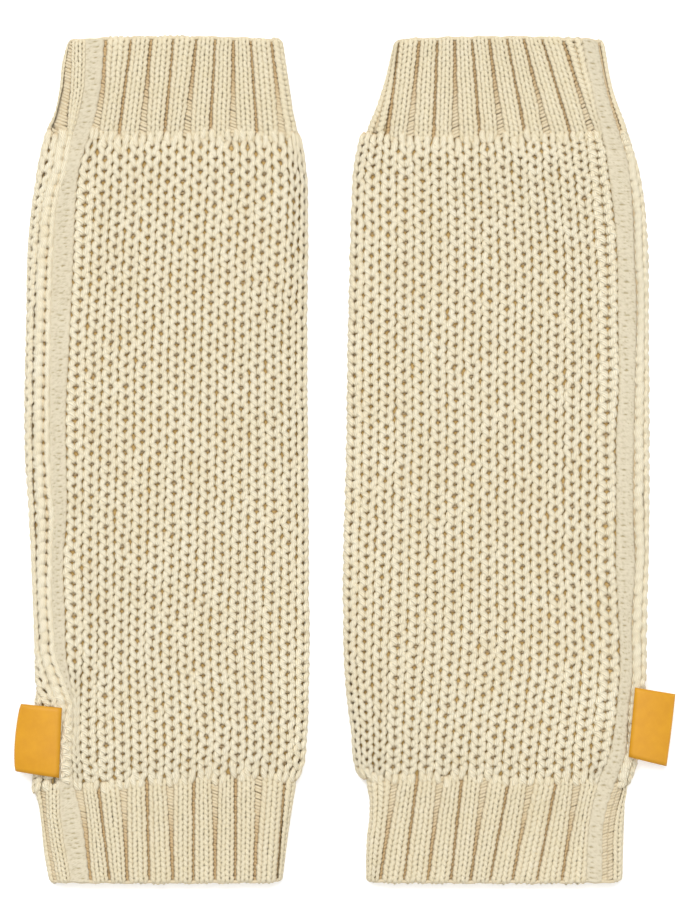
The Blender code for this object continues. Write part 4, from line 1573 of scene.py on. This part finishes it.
    def side_rib(self, yarns: Yarns) -> None:
        """Knits what shows beyond the band: a rib or none, a valley, and a rib round the side.

        Args:
            yarns: what it is added to.
        """
        tube, plan = self.tube, self.tube.plan
        lower = tube.hem < 0
        outer, _ = tube.band_edges(tube.heights)
        rib, valley = (plan.lower_side if lower else plan.upper_side).at(tube.heights).T
        edge = outer + self.band_gap - rib
        least_rib, least_side = self.least_ribs
        if rib.mean() > least_rib:
            self.rib(yarns, self.front, edge, outer + self.band_overlap, self.side_wale)
        middle, half = edge - valley / 2, valley / 2
        self.purls(yarns, middle, half, self.side_bumps[0 if lower else 1])
        widest, depth = self.side_backing
        yarns.back_up(tube, middle, self.side_floor, np.minimum(half, widest), depth)
        side = tube.size("near_end", tube.heights) - self.side_reach
        if (edge - valley - side).mean() > least_side:
            self.rib(yarns, self.front, side, edge - valley, self.wale)

    def hem_cord(self, yarns: Yarns) -> None:
        """Lays the yarn inside the hem's turned edge, which closes it between the ribs.

        Args:
            yarns: what it is added to.
        """
        tube = self.tube
        around = np.linspace(0, 2, tube.around_steps + 1)[None]
        y = np.full(around.shape, tube.hem - math.copysign(HEM_YARN + self.cord_inset, tube.hem))
        above, lost = self.cord_lifts
        lift = above - lost * (1 - tube.swell(around, y))
        line, normal = tube.place(around, y, lift)
        yarns.lay(line, normal, np.full(y.shape, self.cord_radius), 6, 1.0, np.zeros(1),
                  np.full(y.shape, self.cord_shade))

    def build(self, dressing: Dressing) -> list[bpy.types.Object]:
        """Makes the cuff's knit.

        Args:
            dressing: the finishes.

        Returns:
            The one piece.
        """
        tube, share = self.tube, self.share()
        yarns = Yarns()
        self.side_rib(yarns)
        lines = self.lines()
        narrow, wide = (start + gain * share**2
                        for start, gain in (self.narrow_valley, self.wide_valley))
        first_wide = tube.plan.wide_valleys
        halves = [wide if k % 2 == first_wide else narrow for k in range(len(lines))]
        halves[-1] = np.full_like(share, self.far_valley)
        if first_wide:
            halves[0] = np.full_like(share, self.band_tuck)
        else:
            lines[0] = lines[0] + halves[0]
        for k in range(len(lines) - 1):
            self.rib(yarns, self.front, lines[k] + halves[k], lines[k + 1] - halves[k + 1], self.wale)
            if k or not first_wide:
                self.purls(yarns, lines[k], halves[k], self.bump_width)
                # The yarn at the foot of the valley takes the full painted shade
                yarns.back_up(tube, lines[k], self.valley_floor, halves[k] + self.floor_reach, 1.0)
        under = tube.size("under", tube.heights)
        count = round(float(under.mean()) / self.under_pitch)
        for k in range(count):
            self.rib(yarns, self.back, under * k / count + self.under_valley,
                     under * (k + 1) / count - self.under_valley, self.wale, False)
        self.hem_cord(yarns)
        return [dress(yarns.piece(f"{tube.node}_knit", dressing.cuff_yarn), tube.node)]


@dataclass
class SeamBand:
    """The flat linked seam, hem to hem: a broad flattened chain of fine stitches."""

    plan: Plan
    tubes: dict[Part, LaidTube]
    rng: np.random.Generator
    row: float = 1.95
    steps: int = 5
    points: int = 15
    # How far from the hems it ends
    end_inset: float = 0.6
    # Its face: how high it stands, how far and how steeply its edges fall, and how far down it goes
    crown: float = 0.45
    edge_fall: float = 0.5
    edge_power: int = 8
    root: float = -1.0
    # A dent's weakest and strongest, its sideways wander, and its place and half length in its row
    strengths: tuple[float, float] = (0.15, 1.4)
    wobble: float = 0.05
    dent_place: float = 0.4
    dent_length: float = 0.24
    # The painted shade in the dents, per millimetre of their depth, and the most of it; then the face's
    # random lumps, the mean depth of its specks, which take painted shade too, and the edges' wave
    dent_shade: float = 1.9
    darkest: float = 0.8
    grain: float = 0.045
    speck: float = 0.05
    edge_wave: float = 0.13

    def tube_at(self, y: float) -> LaidTube:
        """Finds the tube that the band lies on.

        Args:
            y: a height.

        Returns:
            The tube at that height.
        """
        if y > UPPER_JOINT:
            return self.tubes[Part.UPPER_CUFF]
        return self.tubes[Part.LOWER_CUFF] if y < LOWER_JOINT else self.tubes[Part.BODY]

    def dented(self, share: np.ndarray, count: int) -> np.ndarray:
        """Works out how deep the band's face is dented.

        Args:
            share: places across the band, from its outer edge to its inner one.
            count: how many rings it has along.

        Returns:
            The depths, as rings x places.
        """
        rows = np.arange(count) / self.steps
        found = np.zeros((count, len(share)))
        for place, reach, deep, start, every in self.plan.dents:
            row = ((rows - start) // every).astype(int) + 1
            strength = self.rng.uniform(*self.strengths, row.max() + 1)[row]
            wobble = self.rng.normal(0, self.wobble, row.max() + 1)[row]
            away = ((rows - start) % every - self.dent_place) * self.row
            along = np.exp(-((away / self.dent_length) ** 2))
            across = np.exp(-(((share[None] - place - wobble[:, None]) / reach) ** 2))
            found += deep * (strength * along)[:, None] * across
        return found

    def build(self, dressing: Dressing) -> None:
        """Makes the band.

        Args:
            dressing: the finishes.
        """
        node = f"{self.plan.side.word}_seam"
        heights = np.arange(-HEM + self.end_inset, HEM - self.end_inset, self.row / self.steps)
        share = np.linspace(0, 1, self.points)
        dents = self.dented(share, len(heights))
        dents = dents + self.rng.exponential(self.speck, dents.shape)
        face = self.crown - self.edge_fall * np.abs(2 * share - 1) ** self.edge_power - dents
        face = face + self.rng.normal(0, self.grain, face.shape)
        lift = np.concatenate([face, np.full_like(face, self.root)], axis=1)
        share = np.concatenate([share, share[::-1]])
        rings = []
        for tube in (self.tubes[part] for part in (Part.LOWER_CUFF, Part.BODY, Part.UPPER_CUFF)):
            chosen = np.array([self.tube_at(height) is tube for height in heights])
            y = heights[chosen][:, None]
            outer, inner = tube.band_edges(y)
            wave = self.edge_wave * np.sin(y * math.pi / self.row)
            across = outer + wave + share * (inner - outer - 2 * wave)
            points, _ = tube.place(tube.around(across, y), y, lift[chosen])
            rings.append(points)
        # Painted shade: the dents and specks are drawn towards the seam yarn's deep colour, as deep as
        # they are
        deep = np.concatenate([np.clip(self.dent_shade * dents, 0, self.darkest), 0 * dents], axis=1)
        piece = grid_piece(f"{node}_band", np.concatenate(rings), dressing.seam_yarn, True, deep)
        dress(piece, node)


@dataclass
class FlagLabel:
    """A ribbon folded double, sewn into the seam by its cut ends, with its fold standing out."""

    plan: Plan
    body: LaidTube
    thickness: float = 0.34
    gap: float = 0.26
    steps: int = 16
    # The section as drawn: how far the fold stands out, and its roundness there
    reach: float = 14.0
    fold: float = 0.8
    fold_turn: float = 60.0
    fold_steps: int = 5
    straight_steps: int = 8
    # How high the sewn edge lies above the columns, and the ribbon's middle above that
    sewn_lift: float = 0.3
    middle_lift: float = 0.55
    # The ribbon's own slight wave: how high, and its turns down and out
    wave: float = 0.12
    wave_turns: tuple[float, float] = (5.0, 3.0)
    bulge_power: float = 0.6

    def sewn_height(self, place: np.ndarray) -> float:
        """Finds where the label can lie on the body.

        Args:
            place: a place on its sewn edge, seen from above.

        Returns:
            The height just above the body's columns there.
        """
        fade = ((UPPER_JOINT - place[1]) / (UPPER_JOINT - LOWER_JOINT)) ** DIP_FADE
        y = np.array([place[1] + self.plan.dip * fade])
        across = self.body.unroll(np.array([place[0] * self.plan.side.value]), y)
        points, _ = self.body.place(self.body.around(across, y), y, np.array([BODY_RELIEF]))
        return float(points[0, 2]) + self.sewn_lift

    def profile(self) -> np.ndarray:
        """Draws the ribbon's section from its sewn edge round the fold and back.

        Returns:
            Its points, as the share of the way out and the height.
        """
        half, straight = (self.gap + self.thickness) / 2, self.reach - self.fold
        shares = np.linspace(0, 1, self.straight_steps)
        middle = [(share * straight, half) for share in shares]
        for angle in np.linspace(self.fold_turn, -self.fold_turn, self.fold_steps):
            turn = math.radians(angle)
            middle.append((straight + self.fold * math.cos(turn), half * math.sin(turn)))
        middle += [(share * straight, -half) for share in shares[::-1]]
        line = np.array(middle)
        run = unit(np.gradient(line, axis=0))
        out = np.stack([-run[:, 1], run[:, 0]], axis=1) * self.thickness / 2
        return np.vstack([line + out, (line - out)[::-1]]) / (self.reach, 1.0)

    def build(self, dressing: Dressing) -> None:
        """Makes the label, drooping a little past the warmer's side.

        Args:
            dressing: the finishes.
        """
        sewn_top, sewn_bottom, free_bottom, free_top = np.array(self.plan.label)
        profile = self.profile()
        out = profile[:, 0]
        rows = []
        for down in np.linspace(0, 1, self.steps):
            sewn = sewn_top + down * (sewn_bottom - sewn_top)
            free = free_top + down * (free_bottom - free_top)
            bulge = self.plan.label_bulge * math.sin(math.pi * down) ** self.bulge_power
            free = free + np.array([-self.plan.side.value * bulge, 0.0])
            base = self.sewn_height(sewn) + self.middle_lift
            wave = self.wave * np.sin(self.wave_turns[0] * down + self.wave_turns[1] * out) * out
            height = base + profile[:, 1] - LABEL_DROOP * out**2 + wave
            plane = sewn[None] + out[:, None] * (free - sewn)[None]
            rows.append(np.column_stack([plane, height]))
        node = f"{self.plan.side.word}_label"
        piece = grid_piece(f"{node}_ribbon", np.array(rows), dressing.ribbon, lids=True)
        dress(piece, node)
        area = self.plan.label
        height = math.dist(area[0], area[1])


@dataclass
class Warmer:
    """One arm warmer: three knitted tubes, a seam band and a label."""

    plan: Plan
    seed: int

    def build(self, dressing: Dressing) -> None:
        """Makes every piece and puts it in its node's place.

        Args:
            dressing: the finishes.
        """
        plan = self.plan
        rng = np.random.default_rng(self.seed)
        tubes = {
            Part.BODY: LaidTube(plan, Part.BODY, LOWER_JOINT, UPPER_JOINT, BODY_RELIEF),
            Part.UPPER_CUFF: LaidTube(plan, Part.UPPER_CUFF, UPPER_JOINT, HEM, RIB_RELIEF, HEM),
            Part.LOWER_CUFF: LaidTube(plan, Part.LOWER_CUFF, -HEM, LOWER_JOINT, RIB_RELIEF, -HEM),
        }
        knit = BodyKnit(tubes[Part.BODY], rng).build(dressing)
        GroundCloth(tubes[Part.BODY], BODY_GROUND).build(dressing.ground, "cardigan_cotton", knit)
        cuffs = ((Part.UPPER_CUFF, plan.upper_valleys), (Part.LOWER_CUFF, plan.lower_valleys))
        for part, valleys in cuffs:
            knit = RibbedCuff(tubes[part], valleys, rng).build(dressing)
            GroundCloth(tubes[part], RIB_GROUND).build(dressing.fine_ground, "rib_cotton", knit)
        SeamBand(plan, tubes, rng).build(dressing)
        FlagLabel(plan, tubes[Part.BODY]).build(dressing)


@dataclass(frozen=True)
class Studio:
    """A white card, large soft lamps and a camera straight above. Sizes are in metres."""

    card: float = 8.0
    camera_height: float = 1.5
    look_at: tuple[float, float] = (-0.00030, -0.00009)
    cloth_height: float = 0.004
    frame_long_side: float = 0.3257
    sensor: float = 36.0
    # The lamps' power in watts, and each one's place, side and share of that power
    power: float = 163.0
    key_lamp: tuple[tuple[float, float, float], float, float] = ((-0.6, 2.2, 3.6), 3.0, 1.0)
    fill_lamp: tuple[tuple[float, float, float], float, float] = ((1.2, -1.6, 4.2), 4.0, 0.5)
    sky: float = 0.45

    def build(self) -> None:
        """Makes the card, the lamps and the camera."""
        half = self.card / 2
        mesh = bpy.data.meshes.new("studio_card")
        mesh.from_pydata([(-half, -half, 0), (half, -half, 0), (half, half, 0), (-half, half, 0)], [],
                         [(0, 1, 2, 3)])
        mesh.materials.append(StudioCard().make())
        card = new_item("studio_card", mesh)
        self.lamp("key_lamp", *self.key_lamp)
        self.lamp("fill_lamp", *self.fill_lamp)
        world = bpy.data.worlds.new("white_room")
        world.use_nodes = True
        sky = world.node_tree.nodes["Background"]
        sky.inputs["Color"].default_value = linear("#FFFFFF")
        sky.inputs["Strength"].default_value = self.sky
        scene = bpy.context.scene
        scene.world = world
        scene.view_settings.view_transform = "Standard"
        self.camera()
        LOG.info("studio: card, 2 lamps, camera")

    def lamp(self, name: str, place: tuple[float, float, float], size: float, share: float) -> None:
        """Adds a square soft lamp that points at the pair.

        Args:
            name: its name.
            place: where it hangs.
            size: its side.
            share: its share of the studio's power.
        """
        light = bpy.data.lights.new(name, "AREA")
        light.size = size
        light.energy = self.power * share
        item = new_item(name, light)
        item.location = place
        x, y, z = place
        item.rotation_euler = (math.atan2(math.hypot(x, y), z), 0, math.atan2(x, -y))

    def camera(self) -> None:
        """Adds the camera, straight above the middle of the view with the upper hems up."""
        lens = bpy.data.cameras.new("camera")
        lens.sensor_width = self.sensor
        lens.lens = self.sensor * (self.camera_height - self.cloth_height) / self.frame_long_side
        lens.clip_start, lens.clip_end = 0.05, 20.0
        camera = new_item("camera", lens)
        camera.location = (*self.look_at, self.camera_height)
        bpy.context.scene.camera = camera


def main() -> None:
    """Builds the pair in its studio."""
    logging.basicConfig(level=logging.INFO, format="%(message)s")
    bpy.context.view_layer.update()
    dressing = Dressing(
        body_yarn=PliedCotton("chunky_plied_cotton").make(),
        # Each yarn's deep colour is the painted shade that it takes deep in the knit or in the seam's
        # dents
        cuff_yarn=PliedCotton("fine_plied_cotton", light="#E3DBC4", shaded="#D7CDAF", deep="#A8824A",
                              ply_spacing=0.6, ply_height=0.12).make(),
        seam_yarn=PliedCotton("linked_seam_cotton", light="#D8D0BA", shaded="#CDC3AB", deep="#8C7C50",
                              ply_spacing=0.6, ply_height=0.10, painted_groove_shade_shade=0.12).make(),
        # The grounds' colours are painted shade: the same cotton as the yarn, darkened by the shade of
        # the knit
        ground=GroundCotton("shaded_ground_cotton").make(),
        fine_ground=GroundCotton("fine_ground_cotton", colour="#D2C097", shaded="#C2AE82").make(),
        ribbon=SatinRibbon().make(),
    )
    Studio().build()
    for seed, plan in enumerate((LEFT, RIGHT), 11):
        Warmer(plan, seed).build(dressing)


if __name__ == "__main__":
    main()
